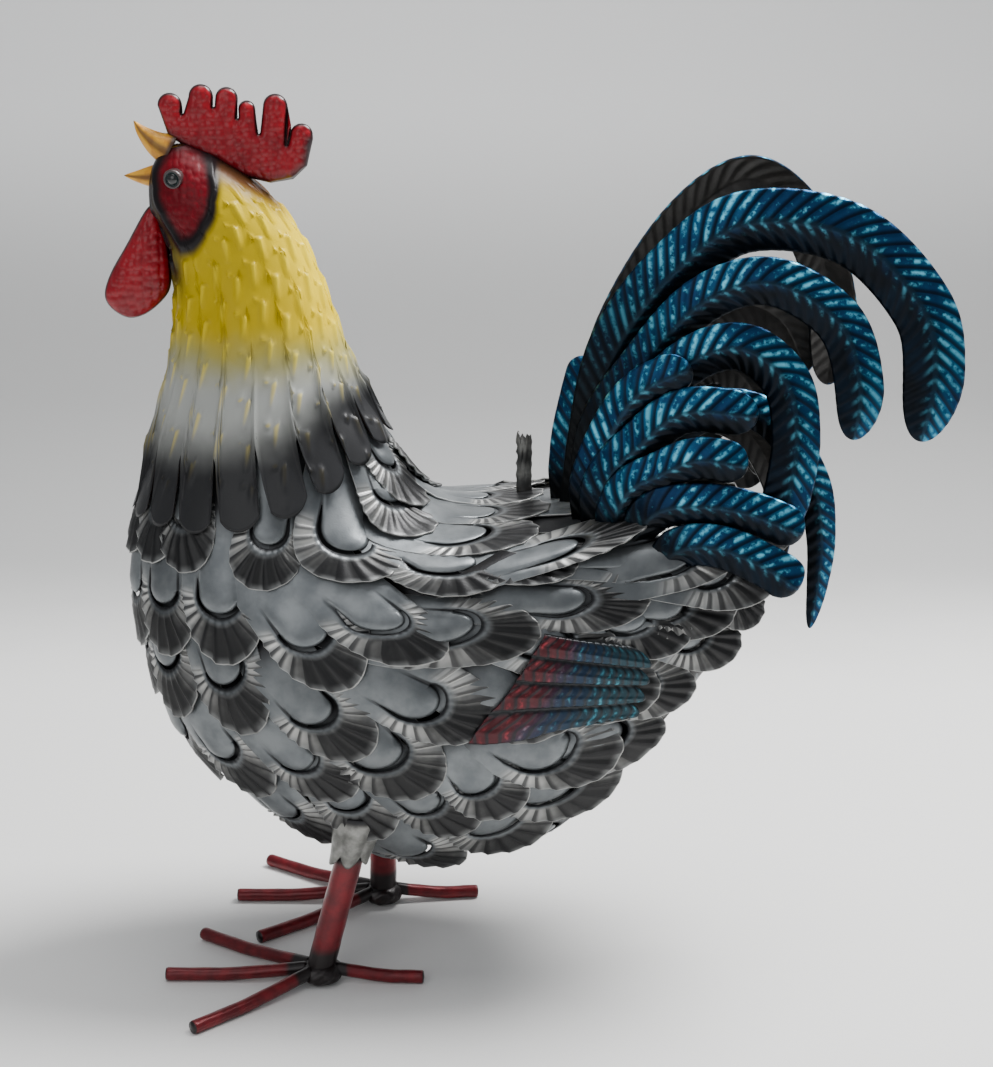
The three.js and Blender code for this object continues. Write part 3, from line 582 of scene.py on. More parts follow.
# seen: for each feather that shows clearly in the photo, the pixel of its tongue's middle and that of
# its tip, read off it; left: angle and place of the tips of the left side's other feathers, and how
# far each leans to the breast; the rump feathers, which lie almost across, also have their half width
featherRows = [
    {"name": "feather_row_1_shoulder",
     "seen": [[386, 488, 428, 533], [339, 532, 361, 582], [259, 532, 262, 591], [186, 520, 190, 573]],
     "left": [[17, 0.95, 0], [141, 0.9, 0], [164, 0.87, 0]]},
    {"name": "feather_row_2_upper_breast",
     "seen": [[440, 566, 482, 592], [392, 628, 436, 662], [314, 646, 348, 691], [220, 616, 229, 666],
              [165, 611, 168, 657]],
     "left": [[9, 1.95, -6], [36, 2.1, 0], [165, 1.9, 0]]},
    {"name": "feather_row_3_breast",
     "seen": [[512, 562, 567, 578], [487, 632, 539, 640], [436, 712, 486, 734], [325, 722, 366, 758],
              [232, 690, 254, 735]],
     "left": [[6, 3.2, 0], [24, 2.95, -52, 25], [40, 3.0, -12], [147, 2.7, 0], [169, 2.5, 0]]},
    {"name": "feather_row_4_flank",
     "seen": [[595, 602, 649, 606], [397, 768, 430, 795], [310, 768, 351, 799]],
     "left": [[5, 4.4, 0], [15, 4.4, -6], [19, 4.5, -46, 25], [36, 4.25, -18], [72, 4.5, -10],
              [87, 4.75, 0], [142, 3.7, 0], [165, 3.5, 0]]},
    {"name": "feather_row_5_belly",
     "seen": [[689, 612, 736, 615], [640, 625, 686, 646], [565, 762, 611, 771], [490, 792, 514, 815],
              [432, 808, 472, 832], [345, 790, 379, 840]],
     "left": [[8, 5.3, -20, 20], [28, 5.45, -20, 22], [77, 5.25, -6], [152, 4.4, 8], [172, 4.4, 0]]},
    {"name": "feather_row_6_rear_hem", "beyond": 0.12,
     "seen": [[649, 687, 689, 690], [600, 735, 655, 737], [543, 790, 590, 805], [488, 823, 505, 852]],
     "left": [[13, 5.75, 0], [36, 5.8, -5], [53, 5.78, -12], [148, 5.25, 20], [169, 5.3, 0]]},
    {"left": [[13, 6.95, 0], [38, 6.95, 0], [64, 6.95, 0], [90, 6.9, 0], [116, 6.9, 0], [142, 6.85, 0],
              [167, 6.8, 0]]},
    {"left": [[22, 8.8, 0], [67, 8.8, 0], [113, 8.8, 0], [158, 8.8, 0]]},
]
wallRows = 6                     # the rows after these close the rear end, in one piece with the last
neckHem = {"back": 0.3, "breast": 0.45, "sag": 0.26, "count": 18, "phase": 17, "covers": 0.3}
# where skinUnder looks: first, last and count of its places and angles, and mm to tell what faces away
seenGrid = {"places": (-0.5, 7, 600), "angles": (-10, 200, 700), "outward": 3.0}


def photoPixels(points):
    # where the photo shows points in mm: how far right of and above the camera's axis they are, over
    # the distance ahead, times the focal length in pixels
    cosine, sine = math.cos(math.radians(view["pitch"])), math.sin(math.radians(view["pitch"]))
    ahead, above = points[..., 1] + view["back"], points[..., 2] - view["height"]
    depth = ahead * cosine - above * sine
    return np.stack([
        view["frameWidth"] / 2 + view["focal"] * points[..., 0] / depth,
        view["frameHeight"] / 2 - view["focal"] * (ahead * sine + above * cosine) / depth], axis=-1)


def skinUnder(pixels, lift):
    # angle and place of the lifted skin at each pixel: the nearest of a fine grid's points that face
    # the camera
    places, angles = np.meshgrid(
        np.linspace(*seenGrid["places"]), np.linspace(*seenGrid["angles"]), indexing="ij")
    points = skin(places, angles, lift)
    outward = skin(places, angles, lift + seenGrid["outward"]) - points
    toCamera = np.array([0, -view["back"], view["height"]]) - points
    near = np.einsum("ijk,ijk->ij", outward, toCamera) > 0
    places, angles, shown = places[near], angles[near], photoPixels(points[near])
    nearest = [np.hypot(*(shown - pixel).T).argmin() for pixel in np.asarray(pixels, float)]
    return angles[nearest], places[nearest]


def leftTips(row):
    # angle, place, lean and half width of each tip of the left side, from back to breast; a feather
    # leans by the heading of its tip as seen from its tongue
    tips = [tip + [0] * (4 - len(tip)) for tip in row["left"]]
    if "seen" in row:
        seen = np.array(row["seen"], float)
        angles, places = skinUnder(seen[:, 2:], feather["tipLift"])
        rootAngles, rootPlaces = skinUnder(seen[:, :2], feather["tongueLift"])
        lean = np.degrees(np.arctan2((angles - rootAngles) * spreadAt(places, angles),
                                     (places - rootPlaces) * pitchAt(places, angles)))
        tips += np.stack([angles, places + row.get("beyond", 0), lean, 0 * lean], axis=1).tolist()
    return np.array(sorted(tips), float)


def bothSides(left):
    # tips of the left side, then those of the right one as its mirror image
    return np.concatenate([left, left[::-1] * [-1, 1, -1, 1] + [360, 0, 0, 0]])


for row in featherRows:
    row["tips"] = bothSides(leftTips(row))


def sawTooth(phase, crest):
    # rises from 0 to 1 as the phase runs to the crest, and falls back to 0 at phase 1
    return np.where(phase < crest, phase / crest, (1 - phase) / (1 - crest))


def rowEnd(number, angle):
    # place where a row's tips end at an angle; the row before the first is the neck's hem
    if number < 0:
        return tipLine(neckHem, angle) - neckHem["covers"]
    tips = featherRows[number]["tips"]
    return np.interp(angle, tips[:, 0], tips[:, 1], period=360)


def featherShape(number, flare):
    # All feathers of a row at once. In the flat, a feather is a tongue of a half circle with straight
    # sides, a slot of varying width round it, and a pleated rim out to the outline; each column runs
    # from the tongue's middle outwards, each row keeps its share of the way. The flat shape is then
    # turned about its tip and laid on the skin, rising with the 1.4th power of the way from its root
    # and crowned across.
    draw = np.random.default_rng(40 + number)
    tips = featherRows[number]["tips"]
    count = len(tips)
    right = tips[:, 0] > 180
    angles = tips[:, 0] + draw.uniform(-feather["turnedBy"], feather["turnedBy"], count) * right
    tip = tips[:, 1] + draw.uniform(-feather["movedBy"], feather["movedBy"], count) * right
    spacing = np.mod(np.roll(tips[:, 0], -1) - np.roll(tips[:, 0], 1), 360) / 2
    spread = spreadAt(tip - 0.5, angles)
    half = spread * spacing * feather["share"]
    half = np.clip(half, feather["halfNarrowest"], feather["halfWidest"])
    half = np.where(tips[:, 3] > 0, tips[:, 3], half * draw.uniform(*feather["sizes"], count))
    pitch = pitchAt(tip - 0.5, angles)
    length = (tip - rowEnd(number - 1, angles)) * pitch + feather["under"]
    length = np.minimum(length, feather["longest"])
    length = np.where(np.abs(tips[:, 2]) > feather["acrossLean"], feather["acrossLength"], length)
    pleats, steps = feather["pleats"], feather["pleatSteps"]
    beta = np.linspace(-90, 90, pleats * steps + 1)
    sideRows = np.linspace(1, 0.0, feather["sideRows"])[:-1]
    column = lambda v: np.asarray(v, float).reshape(count, 1, 1)
    w, long = column(half), column(length)
    tongue = feather["tongue"] * w
    rim = np.minimum(feather["rim"], feather["rimMost"] * long)
    centre = long - rim - tongue           # y of the tongue's middle
    tipRound = feather["tipRound"] * w
    ahead = long - tipRound - centre       # from there to the middle of the rounded tip
    # distance to the outline: the greater root of the tip ellipse's quadratic, or that of the side
    b = np.radians(beta)[None, :, None]
    sine, cosine = np.sin(b), np.cos(b)
    qa = (sine / w) ** 2 + (cosine / tipRound) ** 2
    qb = -2 * ahead * cosine / tipRound ** 2
    qc = (ahead / tipRound) ** 2 - 1
    toTip = (-qb + np.sqrt(np.maximum(qb * qb - 4 * qa * qc, 0))) / (2 * qa)
    toSide = w / np.maximum(np.abs(sine), 1e-6)
    outer = np.where(toTip * cosine > ahead, toTip, toSide)
    # columns: up the left side, round the tip, down to the right root
    sideY = centre * (1 - sideRows[None, :, None])
    rootWidth = feather["rootWidth"]
    narrow = w * (rootWidth + (1 - rootWidth) * smoothStep(sideY / long, 0.0, feather["rootEnd"]))
    ones = np.ones_like(sideY)
    spineY = np.concatenate([sideY, centre * np.ones_like(outer), sideY[:, ::-1]], axis=1)
    outer = np.concatenate([narrow, outer, narrow[:, ::-1]], axis=1)
    dirX = np.concatenate([-ones, sine * np.ones_like(w), ones], axis=1)
    dirY = np.concatenate([0 * ones, cosine * np.ones_like(w), 0 * ones], axis=1)
    sideRound = 1 + (centre - sideY) / tongue * feather["armWiden"]
    tipTurn = beta[None, :, None] / 90 * np.ones_like(w)
    around = np.concatenate([-sideRound, tipTurn, sideRound[:, ::-1]], axis=1)
    # the slot: two arms of unlike length
    arms = [draw.uniform(*feather[arm], count) for arm in ("shortArm", "longArm")]
    arms = np.stack(arms, axis=1)
    swap = draw.random(count) < feather["swapped"]
    arms[swap] = arms[swap][:, ::-1]
    reachArm = np.where(around < 0, column(arms[:, 0]), column(arms[:, 1]))
    gap = np.sqrt(np.clip(1 - (np.abs(around) / reachArm) ** 4, 0.1, 1))
    gap = feather["slot"] * w / feather["slotFor"] * gap
    gap = gap * (0.62 + 0.38 * np.clip(1 - np.abs(around), 0, 1))
    inner = np.array([0, 0.4, 0.8, 1.0])[None, None, :]
    rimShare = np.array([0, 0.18, 0.4, 0.64, 0.86, 0.965, 1.0])[None, None, :]
    tongueWay = np.minimum(tongue, 0.6 * outer)
    distance = np.concatenate([
        inner * tongueWay, tongueWay + gap + (outer - tongueWay - gap) * rimShare], axis=2)
    reach = np.concatenate([inner, 1 + rimShare], axis=2) * np.ones_like(outer)
    x = dirX * distance
    y = spineY + dirY * distance
    across = x / w
    ray = around * pleats / 2 * np.ones_like(reach)
    phase = ray - np.floor(ray + 1e-6)
    saw = sawTooth(phase, feather["pleatCrest"])
    rimPart = np.clip(reach - 1, 0, 1)
    window = smoothStep(np.abs(around), 1.3, 0.85)
    relief = feather["pleatRise"] * (saw - 0.5) * smoothStep(rimPart, 0.02, 0.5) * window
    slotDip = feather["slotDip"] * np.exp(-((reach - 1.05) / 0.12) ** 2)
    slotDip = slotDip * smoothStep(np.abs(around), 1.9, 1.2)
    tongueRise = feather["tongueRise"] * (1 - np.clip(reach, 0, 1) ** 2)
    tongueRise = tongueRise * smoothStep(np.abs(around), 2.2, 1.0)
    share = np.clip(y / long, 0, 1)
    rise = column(np.where(tips[:, 3] > 0, feather["rumpFlare"], flare))
    crown = feather["crown"] * (1 - across ** 2) * np.sin(np.pi * np.clip(share, 0, 0.9))
    sunk = feather["sink"] * smoothStep(share, 0.35, 0.05)
    if number == 0:
        sunk = sunk + feather["hemSink"] * smoothStep(share, 0.8, 0.4)
    lift = rise * share ** 1.4 + crown - sunk + relief - slotDip + tongueRise
    lift = lift + feather["overlap"] * across
    lean = np.radians(column(tips[:, 2]))
    place = column(tip) - ((long - y) * np.cos(lean) + x * np.sin(lean)) / column(pitch)
    sideways = x * np.cos(lean) - (long - y) * np.sin(lean)
    angle = column(angles) + sideways / np.maximum(spreadAt(place, column(angles)), 0.35)
    points = skin(place, angle, lift)
    columns, deep = points.shape[1], points.shape[2]
    faces = gridFaces(columns, deep)
    faceColumn, faceRow = np.divmod(np.arange(len(faces)), deep - 1)
    between = (around[:, :-1, 0] + around[:, 1:, 0]) / 2
    isOpen = np.abs(between) < np.where(between < 0, arms[:, :1], arms[:, 1:])
    hole = (faceRow[None, :] == 3) & isOpen[:, faceColumn]
    allFaces = faces[None] + (np.arange(count) * columns * deep)[:, None, None]
    tone = column(draw.uniform(*feather["tones"], count)) * np.ones_like(reach)
    middles = skin(place, angle, lift + 5) - points
    layers = {
        "reach": reach, "round": around * np.ones_like(reach), "ray": ray,
        "along": share * np.ones_like(reach), "tone": tone}
    return points, allFaces[~hole], layers, middles


def joinShapes(shapes):
    # one list of points, faces, layers and facings out of several
    starts = np.cumsum([0] + [shape[0].size // 3 for shape in shapes[:-1]])
    points = np.concatenate([shape[0].reshape(-1, 3) for shape in shapes])
    faces = np.concatenate([shape[1].reshape(-1, 4) + start for shape, start in zip(shapes, starts)])
    layers = {n: np.concatenate([shape[2][n].ravel() for shape in shapes]) for n in shapes[0][2]}
    facing = np.concatenate([shape[3].reshape(-1, 3) for shape in shapes])
    return points, faces, layers, facing


for number, row in enumerate(featherRows[:wallRows]):
    isLast = number == wallRows - 1
    shapes = [featherShape(number, feather["rearFlare" if isLast else "flare"])]
    for cap in range(wallRows, len(featherRows)) if isLast else ():
        points, faces, layers, facing = featherShape(cap, feather["capFlare"])
        shapes.append((points - np.array(feather["capInset"]), faces, layers, facing))
    points, faces, layers, facing = joinShapes(shapes)
    name = row["name"].replace("feather_row", "feathers")
    makePiece(name, points, faces, [featherLook, featherInner], layers, sheet=feather["sheet"],
              facing=facing, replaced=[row["name"]])
print("body feathers laid")


def hammered(x, z, pitch):
    # round dimples on a jittered grid: 1 - r squared over the nearest of their middles, from 0 to 1
    column, level = np.floor(x / pitch), np.floor(z / pitch)
    nearest = np.full(np.shape(x), 9.0)
    for i in (-1, 0, 1):
        for k in (-1, 0, 1):
            a, b = column + i, level + k
            draw = np.sin(a * 127.1 + b * 311.7) * 43758.5
            other = np.sin(a * 269.5 + b * 183.3) * 43758.5
            middleX = (a + 0.25 + 0.5 * (draw - np.floor(draw))) * pitch
            middleZ = (b + 0.25 + 0.5 * (other - np.floor(other))) * pitch
            nearest = np.minimum(nearest, np.hypot(x - middleX, z - middleZ) / pitch)
    return np.clip(1 - (nearest / 0.62) ** 2, 0, 1)


neck = {
    "columns": 480, "rows": 160, "sheet": 1.3, "flare": 7.0,
    "notch": 36.0, "notchFrom": 0.8, "lobeRound": 11.0, "lobeDome": 1.8,  # between and on the lobes
    "ridgeColumns": 24, "ridgePitch": 23.0, "ridgeLength": 15.0, "ridgeRise": 2.1, "ridgeWidth": 1.9,
    "ridgeSlant": 0.22, "beadRadius": 2.1,
    "rimRise": 1.1, "faceSink": 0.5, "faceRelief": 0.45, "facePitch": 4.2,
    "weld": [-241, 643], "weldRadius": 3.2, "weldRise": 1.6,  # blob of weld on the left side
    # outline of the face, x and z in thousandths of the height
    "face": [[-356, 921], [-344, 938], [-326, 942], [-310, 933], [-300, 909], [-299, 885], [-308, 860],
             [-320, 842], [-333, 838], [-342, 852], [-351, 870], [-358, 895]],
    "faceMiddle": [-327, 893],
    # the painted shade under the comb ends on a slanting line: x and z of a point on it, and its fall
    "crownLine": [-128.0, 480.0, 0.576],
}


def faceShare(x, z):
    # distance from the middle of the face over the distance of its outline in that direction
    outline = np.array(neck["face"]) * permille
    middle = np.array(neck["faceMiddle"]) * permille
    dx, dz = outline[:, 0] - middle[0], outline[:, 1] - middle[1]
    headings = np.arctan2(dz, dx)
    order = np.argsort(headings)
    radii = np.hypot(dx, dz)[order]
    headings = headings[order]
    wrapped = np.concatenate([headings - 2 * np.pi, headings, headings + 2 * np.pi])
    heading = np.arctan2(z - middle[1], x - middle[0])
    return np.hypot(x - middle[0], z - middle[1]) / np.interp(heading, wrapped, np.tile(radii, 3))


def neckShape():
    # A shell lofted from the crown to the lobes of its hem, which fall short by the notch between two
    # lobes. Short ridges stand on it in staggered columns: a round bead at the head of each, then a
    # tail that thins out down the neck. Inside, a plain wall runs back up.
    columns, rows = neck["columns"], neck["rows"]
    angle = np.arange(columns) * 360.0 / columns
    turn = (angle - neckHem["phase"]) * neckHem["count"] / 360 + 0.5
    across = 2 * (turn - np.floor(turn)) - 1
    line = tipLine(neckHem, angle)
    notch = np.clip((np.abs(across) - neck["notchFrom"]) / (1 - neck["notchFrom"]), 0, 1)
    notch = neck["notch"] * notch ** 0.8 + neck["lobeRound"] * np.abs(across) ** 2.4
    tip = line - notch / pitchAt(line, angle)
    share = np.linspace(0, 1, rows)[:, None] ** 0.85
    top = -float(neckRings)
    place = top + (tip[None] - top) * share
    angleGrid = angle[None] * np.ones_like(place)
    places = np.linspace(top, 1.2, 240)
    down = np.interp(place, places, lengthsAlong(skin(places, 70.0)))
    # ridges
    pitch = neck["ridgePitch"]
    slots = angleGrid / 360 * neck["ridgeColumns"]
    nearest = np.round(slots)
    side = (slots - nearest) * 360 / neck["ridgeColumns"] * spreadAt(place, angleGrid)
    odd = np.mod(nearest, 2)
    phase = np.mod(down + odd * pitch / 2 + 2.5 * np.sin(nearest * 2.3), pitch)
    fade = np.clip(1 - phase / neck["ridgeLength"], 0, 1)
    width = neck["ridgeWidth"]
    side = side - neck["ridgeSlant"] * phase
    bead = np.exp(-(side ** 2 + np.minimum(phase, pitch - phase) ** 2) / neck["beadRadius"] ** 2)
    tail = np.exp(-(side / width) ** 2) * fade ** 0.5 * (phase < neck["ridgeLength"])
    level = skin(place, angleGrid)
    shown = smoothStep(level[..., 2], 560 * permille, 600 * permille) * smoothStep(place, -4.4, -3.6)
    shown = shown * smoothStep(angleGrid * 1.0, 0, 6) * smoothStep(360 - angleGrid, 0, 6)
    ridge = np.maximum(0.9 * bead, tail) * shown
    face = faceShare(level[..., 0], level[..., 2])
    face = np.where(np.abs(level[..., 1]) > 4 * permille, face, 3.0)
    shown = smoothStep(face, 1.2, 1.5)
    ridge = ridge * shown
    rim = np.exp(-((face - 1.04) / 0.1) ** 2)
    inside = smoothStep(face, 0.98, 0.8)
    hemShare = np.clip((place + 1) / (tip[None] + 1), 0, 1)
    lobeDome = neck["lobeDome"] * (1 - across[None] ** 2) * smoothStep(hemShare, 0.62, 0.95)
    lift = neck["flare"] * hemShare ** 1.5 + neck["ridgeRise"] * ridge
    lift = lift + neck["rimRise"] * rim - neck["faceSink"] * inside
    beads = hammered(level[..., 0], level[..., 2], neck["facePitch"]) - 0.4
    lift = lift + neck["faceRelief"] * inside * beads + lobeDome
    weld = np.array(neck["weld"]) * permille
    blob = np.hypot(level[..., 0] - weld[0], level[..., 2] - weld[1]) / neck["weldRadius"]
    lift = lift + np.where(level[..., 1] < 0, neck["weldRise"] * np.exp(-blob ** 2), 0)
    outside = skin(place, angleGrid, lift)
    hemward = (line[None] - place) * 50.0
    innerShare = np.linspace(1, 0, 14)[:, None] ** 0.7
    innerPlace = top + 0.3 + (tip[None] - 0.02 - top - 0.3) * innerShare
    innerHem = np.clip((innerPlace + 1) / (tip[None] + 1), 0, 1)
    innerLift = neck["flare"] * innerHem ** 1.5 - neck["sheet"] + lobeDome[-1] * innerHem ** 4
    inside = skin(innerPlace, angle[None] * np.ones_like(innerPlace), innerLift)
    middle = lambda place: skin(np.full(2, place), np.array([0.0, 180.0])).mean(axis=0)
    pole = np.tile(middle(top) + [0, 0, 1.6], (1, columns, 1))
    well = np.tile(middle(top + 0.3), (1, columns, 1))
    points = np.concatenate([pole, outside, inside, well])
    pad = lambda values, fill: np.concatenate([values[:1], values, np.full((15, columns), fill, float)])
    lineX, lineZ, fall = neck["crownLine"]
    crown = level[..., 2] - lineZ + fall * (level[..., 0] - lineX)
    fromBack = np.abs(np.mod(angleGrid + 180, 360) - 180)
    layers = {"crown": pad(crown, 20), "ridge": pad(ridge, 0), "angle": pad(fromBack, 90),
              "face": pad(face, 3), "hemward": pad(hemward, 0)}
    return points, gridFaces(len(points), columns, True), layers


points, faces, layers = neckShape()
makePiece("neck_plumage", points, faces, [neckLook], layers, replaced=["neck_shell"])

comb = {
    "lobes": [[-344, 991, 13], [-311, 1000, 13], [-284, 997, 12], [-263, 983, 9], [-233, 990, 13],
              [-206, 959, 12]],  # x and height of the top, half width
    "notches": [[-331, 969], [-298, 976], [-273, 964], [-251, 948], [-222, 936]],
    "base": [[-347, 946], [-327, 933], [-298, 919], [-266, 902], [-240, 896], [-216, 900], [-201, 914],
             [-194, 942]],
    "thickness": 8.0, "rounding": 6.0, "dimple": 5.0, "relief": 0.7, "columns": 420, "rows": 46,
}


def edgeDistance(x, z, outline):
    # least distance from each point to the closed outline
    a = outline
    b = np.roll(outline, -1, axis=0)
    px, pz = x.reshape(-1, 1), z.reshape(-1, 1)
    ex, ez = b[:, 0] - a[:, 0], b[:, 1] - a[:, 1]
    t = ((px - a[:, 0]) * ex + (pz - a[:, 1]) * ez) / np.maximum(ex ** 2 + ez ** 2, 1e-9)
    t = np.clip(t, 0, 1)
    return np.hypot(px - a[:, 0] - t * ex, pz - a[:, 1] - t * ez).min(axis=1).reshape(x.shape)


def alongLine(points, count):
    # evenly spaced points along a chain of straight lines
    points = np.asarray(points, float)
    length = lengthsAlong(points)
    at = np.linspace(0, length[-1], count)
    return np.stack([np.interp(at, length, points[:, n]) for n in (0, 1)], axis=-1)


def combShape():
    # columns from the base up to the edge of six round lobes; thickness falls off towards the outline
    # as a quarter circle, with shallow hammer marks
    edge = []
    for number, (x, top, half) in enumerate(comb["lobes"]):
        arc = np.radians(np.linspace(180, 0, 17))
        edge += [[x + half * np.cos(a), top - half + half * np.sin(a)] for a in arc]
        if number < len(comb["notches"]):
            nx, nz = comb["notches"][number]
            edge += [[nx - 1.2, nz + 1], [nx, nz], [nx + 1.2, nz + 1]]
    top = alongLine(edge, comb["columns"]) * permille
    base = alongLine(comb["base"], comb["columns"]) * permille
    v = np.linspace(0, 1, comb["rows"])[:, None, None] ** 0.8
    flat = base[None] + (top - base)[None] * v
    outline = np.concatenate([top, base[::-1]])
    x, z = flat[..., 0], flat[..., 1]
    edgeWay = edgeDistance(x, z, outline[::2])
    edgeWay[-1] = 0
    edgeWay[:, [0, -1]] = 0
    edgeWay[0] = 0
    part = np.clip(edgeWay / comb["rounding"], 0, 1)
    half = comb["thickness"] / 2 * np.sqrt(1 - (1 - part) ** 2)
    marks = comb["relief"] * (hammered(x, z, comb["dimple"]) - 0.5) * smoothStep(edgeWay, 0.6, 3)
    near = np.stack([x, -(half + marks), z], axis=-1)
    far = np.stack([x, half + marks, z], axis=-1)
    low = edgeDistance(x, z, np.concatenate([base, base[::-1]])[::3])
    points = np.concatenate([near, far[::-1]])
    layers = {n: np.concatenate([v, v[::-1]]) for n, v in (("edge", edgeWay), ("low", low))}
    return points, gridFaces(len(points), comb["columns"]), layers


points, faces, layers = combShape()
makePiece("hammered_comb", points, faces, [crimsonLook], layers, replaced=["comb"])

wattle = {
    "outline": [[-363, 872], [-374, 868], [-397, 830], [-416, 798], [-423, 775], [-416, 760], [-399, 750],
                [-382, 753], [-366, 764], [-353, 780], [-350, 800], [-352, 830], [-357, 860]],
    "thickness": 17.0, "relief": 0.8, "columns": 170, "rows": 40,
}


def wattleShape():
    # rings from the outline in to the middle on both sides, domed as a root of 1 - r squared, with
    # close-set beads
    loop = np.array(wattle["outline"] + wattle["outline"][:1], float) * permille
    rim = routePoints(loop, np.linspace(0, 1, wattle["columns"] + 1)[:-1])
    middle = rim.mean(axis=0)
    r = np.cos(np.linspace(0, np.pi / 2, wattle["rows"]))[:, None, None]
    flat = middle + (rim - middle)[None] * r
    x, z = flat[..., 0], flat[..., 1]
    dome = wattle["thickness"] / 2 * np.sqrt(np.clip(1 - r[..., 0] ** 2, 0, 1)) * np.ones_like(x)
    beads = hammered(x, z, comb["dimple"]) - 0.4
    dome = dome + wattle["relief"] * beads * smoothStep(dome, 1.0, 5.0)
    near = np.stack([x, -dome, z], axis=-1)
    far = np.stack([x, dome, z], axis=-1)
    points = np.concatenate([near[::-1], far[1:]])
    edge = edgeDistance(x, z, rim)
    edge = np.concatenate([edge[::-1], edge[1:]])
    layers = {"edge": edge, "low": 12.0 + 0 * edge}
    return points, gridFaces(len(points), wattle["columns"], True), layers


points, faces, layers = wattleShape()
makePiece("beaded_wattle", points, faces, [crimsonLook], layers, replaced=["wattle"])

beak = {
    "upper_beak": {"tall": 18.5, "wide": 16.5,
                   "route": [[-345, 930], [-360, 938], [-374, 950], [-383, 962]]},
    "lower_beak": {"tall": 18.0, "wide": 15.5,
                   "route": [[-345, 903], [-362, 903], [-380, 903], [-396, 904]]},
}


def beakShape(half):
    # a cone along its route: height and width fall off with the 0.85th power, and both keels stand
    # out by an eighth
    rows, columns = 46, 32
    shares = np.linspace(0, 1, rows)
    route = routePoints(np.array(half["route"]) * permille, shares)
    along = np.gradient(route, axis=0)
    along /= np.linalg.norm(along, axis=1)[:, None]
    up = np.stack([along[:, 1], -along[:, 0]], axis=-1)
    size = np.clip(1 - shares, 0.0, 1) ** 0.85
    size[-1] = 0
    turn = wholeTurn(columns)
    c, s = np.cos(turn)[None], np.sin(turn)[None]
    tall = half["tall"] / 2 * size[:, None] * c * (1 + 0.12 * np.cos(2 * turn)[None])
    wide = half["wide"] / 2 * size[:, None] * s
    points = np.stack([route[:, :1] + up[:, :1] * tall, wide, route[:, 1:] + up[:, 1:] * tall], axis=-1)
    start, end = (np.tile([x, 0, z], (1, columns, 1)) for x, z in route[[0, -1]])
    points = np.concatenate([start, points, end])
    mouth = smoothStep(np.abs(s), 0.86, 0.99) * np.ones((rows, 1))
    tipDark = smoothStep(shares, 0.9, 1.0)[:, None] * 0.7
    rootDark = smoothStep(shares, 0.18, 0.03)[:, None]
    edge = np.maximum(np.maximum(mouth * 0.75, tipDark), rootDark)
    edge = np.concatenate([edge[:1], edge, edge[-1:]])
    return points, gridFaces(len(points), columns, True), {"edge": edge}


for name, half in beak.items():
    points, faces, layers = beakShape(half)
    makePiece("painted_" + name, points, faces, [beakLook], layers, replaced=[name])

eye = {"place": -4.78, "angle": 107.0, "radius": 5.6, "rise": 3.4}


def turnedShape(profile, centre, axis, columns=48):
    # a profile of (radius, height) turned round an axis through the centre
    axis = np.asarray(axis, float) / np.linalg.norm(axis)
    helper = np.array([0, 0, 1.0]) if abs(axis[2]) < 0.9 else np.array([1.0, 0, 0])
    side = np.cross(axis, helper)
    side /= np.linalg.norm(side)
    other = np.cross(axis, side)
    turn = wholeTurn(columns)
    spoke = np.cos(turn)[:, None] * side + np.sin(turn)[:, None] * other
    profile = np.asarray(profile, float)
    return np.asarray(centre) + profile[:, :1, None] * spoke[None] + profile[:, 1:2, None] * axis


def eyeShape(side):
    # a raised ring, half an ellipse high, with a domed pupil in it, a quarter of one; this profile is
    # turned round the line that leads out of the skin
    r, rise = eye["radius"], eye["rise"]
    turn = np.radians(np.linspace(0, 180, 11))
    ring = np.stack([r * (0.84 + 0.16 * np.cos(turn)), rise * (0.28 + 0.34 * np.sin(turn))], axis=-1)
    dome = np.radians(np.linspace(4, 90, 12))
    pupil = np.stack([0.62 * r * np.cos(dome), 0.2 * rise + 0.72 * rise * np.sin(dome)], axis=-1)
    profile = np.concatenate([[[0, -3.0], [r, -3.0]], ring, pupil])
    profile[-1, 0] = 0
    angle = eye["angle"]
    here, out = (skin(np.array(eye["place"]), np.array(angle), lift) for lift in (0.6, 11.0))
    out = out - here
    flip = np.array([1, -side, 1])
    points = turnedShape(profile, here * flip, out * flip)
    share = profile[:, :1] / r * np.ones((1, points.shape[1]))
    return points, gridFaces(points.shape[0], points.shape[1], True), {"ring": share}


for word, side in (("left", -1), ("right", 1)):
    points, faces, layers = eyeShape(side)
    makePiece("glass_eye_" + word, points, faces, [eyeLook], layers,
              replaced=["eye_" + word])
print("head and neck shaped")


wing = {"upper": [73, 67], "lower": [96, 83],       # angle of both edges, at the front and the rear
        "front": [3.6, 4.2], "rear": [4.75, 5.3],   # place of both ends, above and below
        "strips": 4, "stripRound": 0.28, "endRound": 0.1, "columns": 110, "rows": 61, "lift": 9.8,
        "rise": 2.6, "frontSink": 2.2, "ribs": 13, "ribLean": 0.9, "ribRise": 0.55, "ribCrest": 0.75,
        "spine": 0.5, "sheet": 1.2}


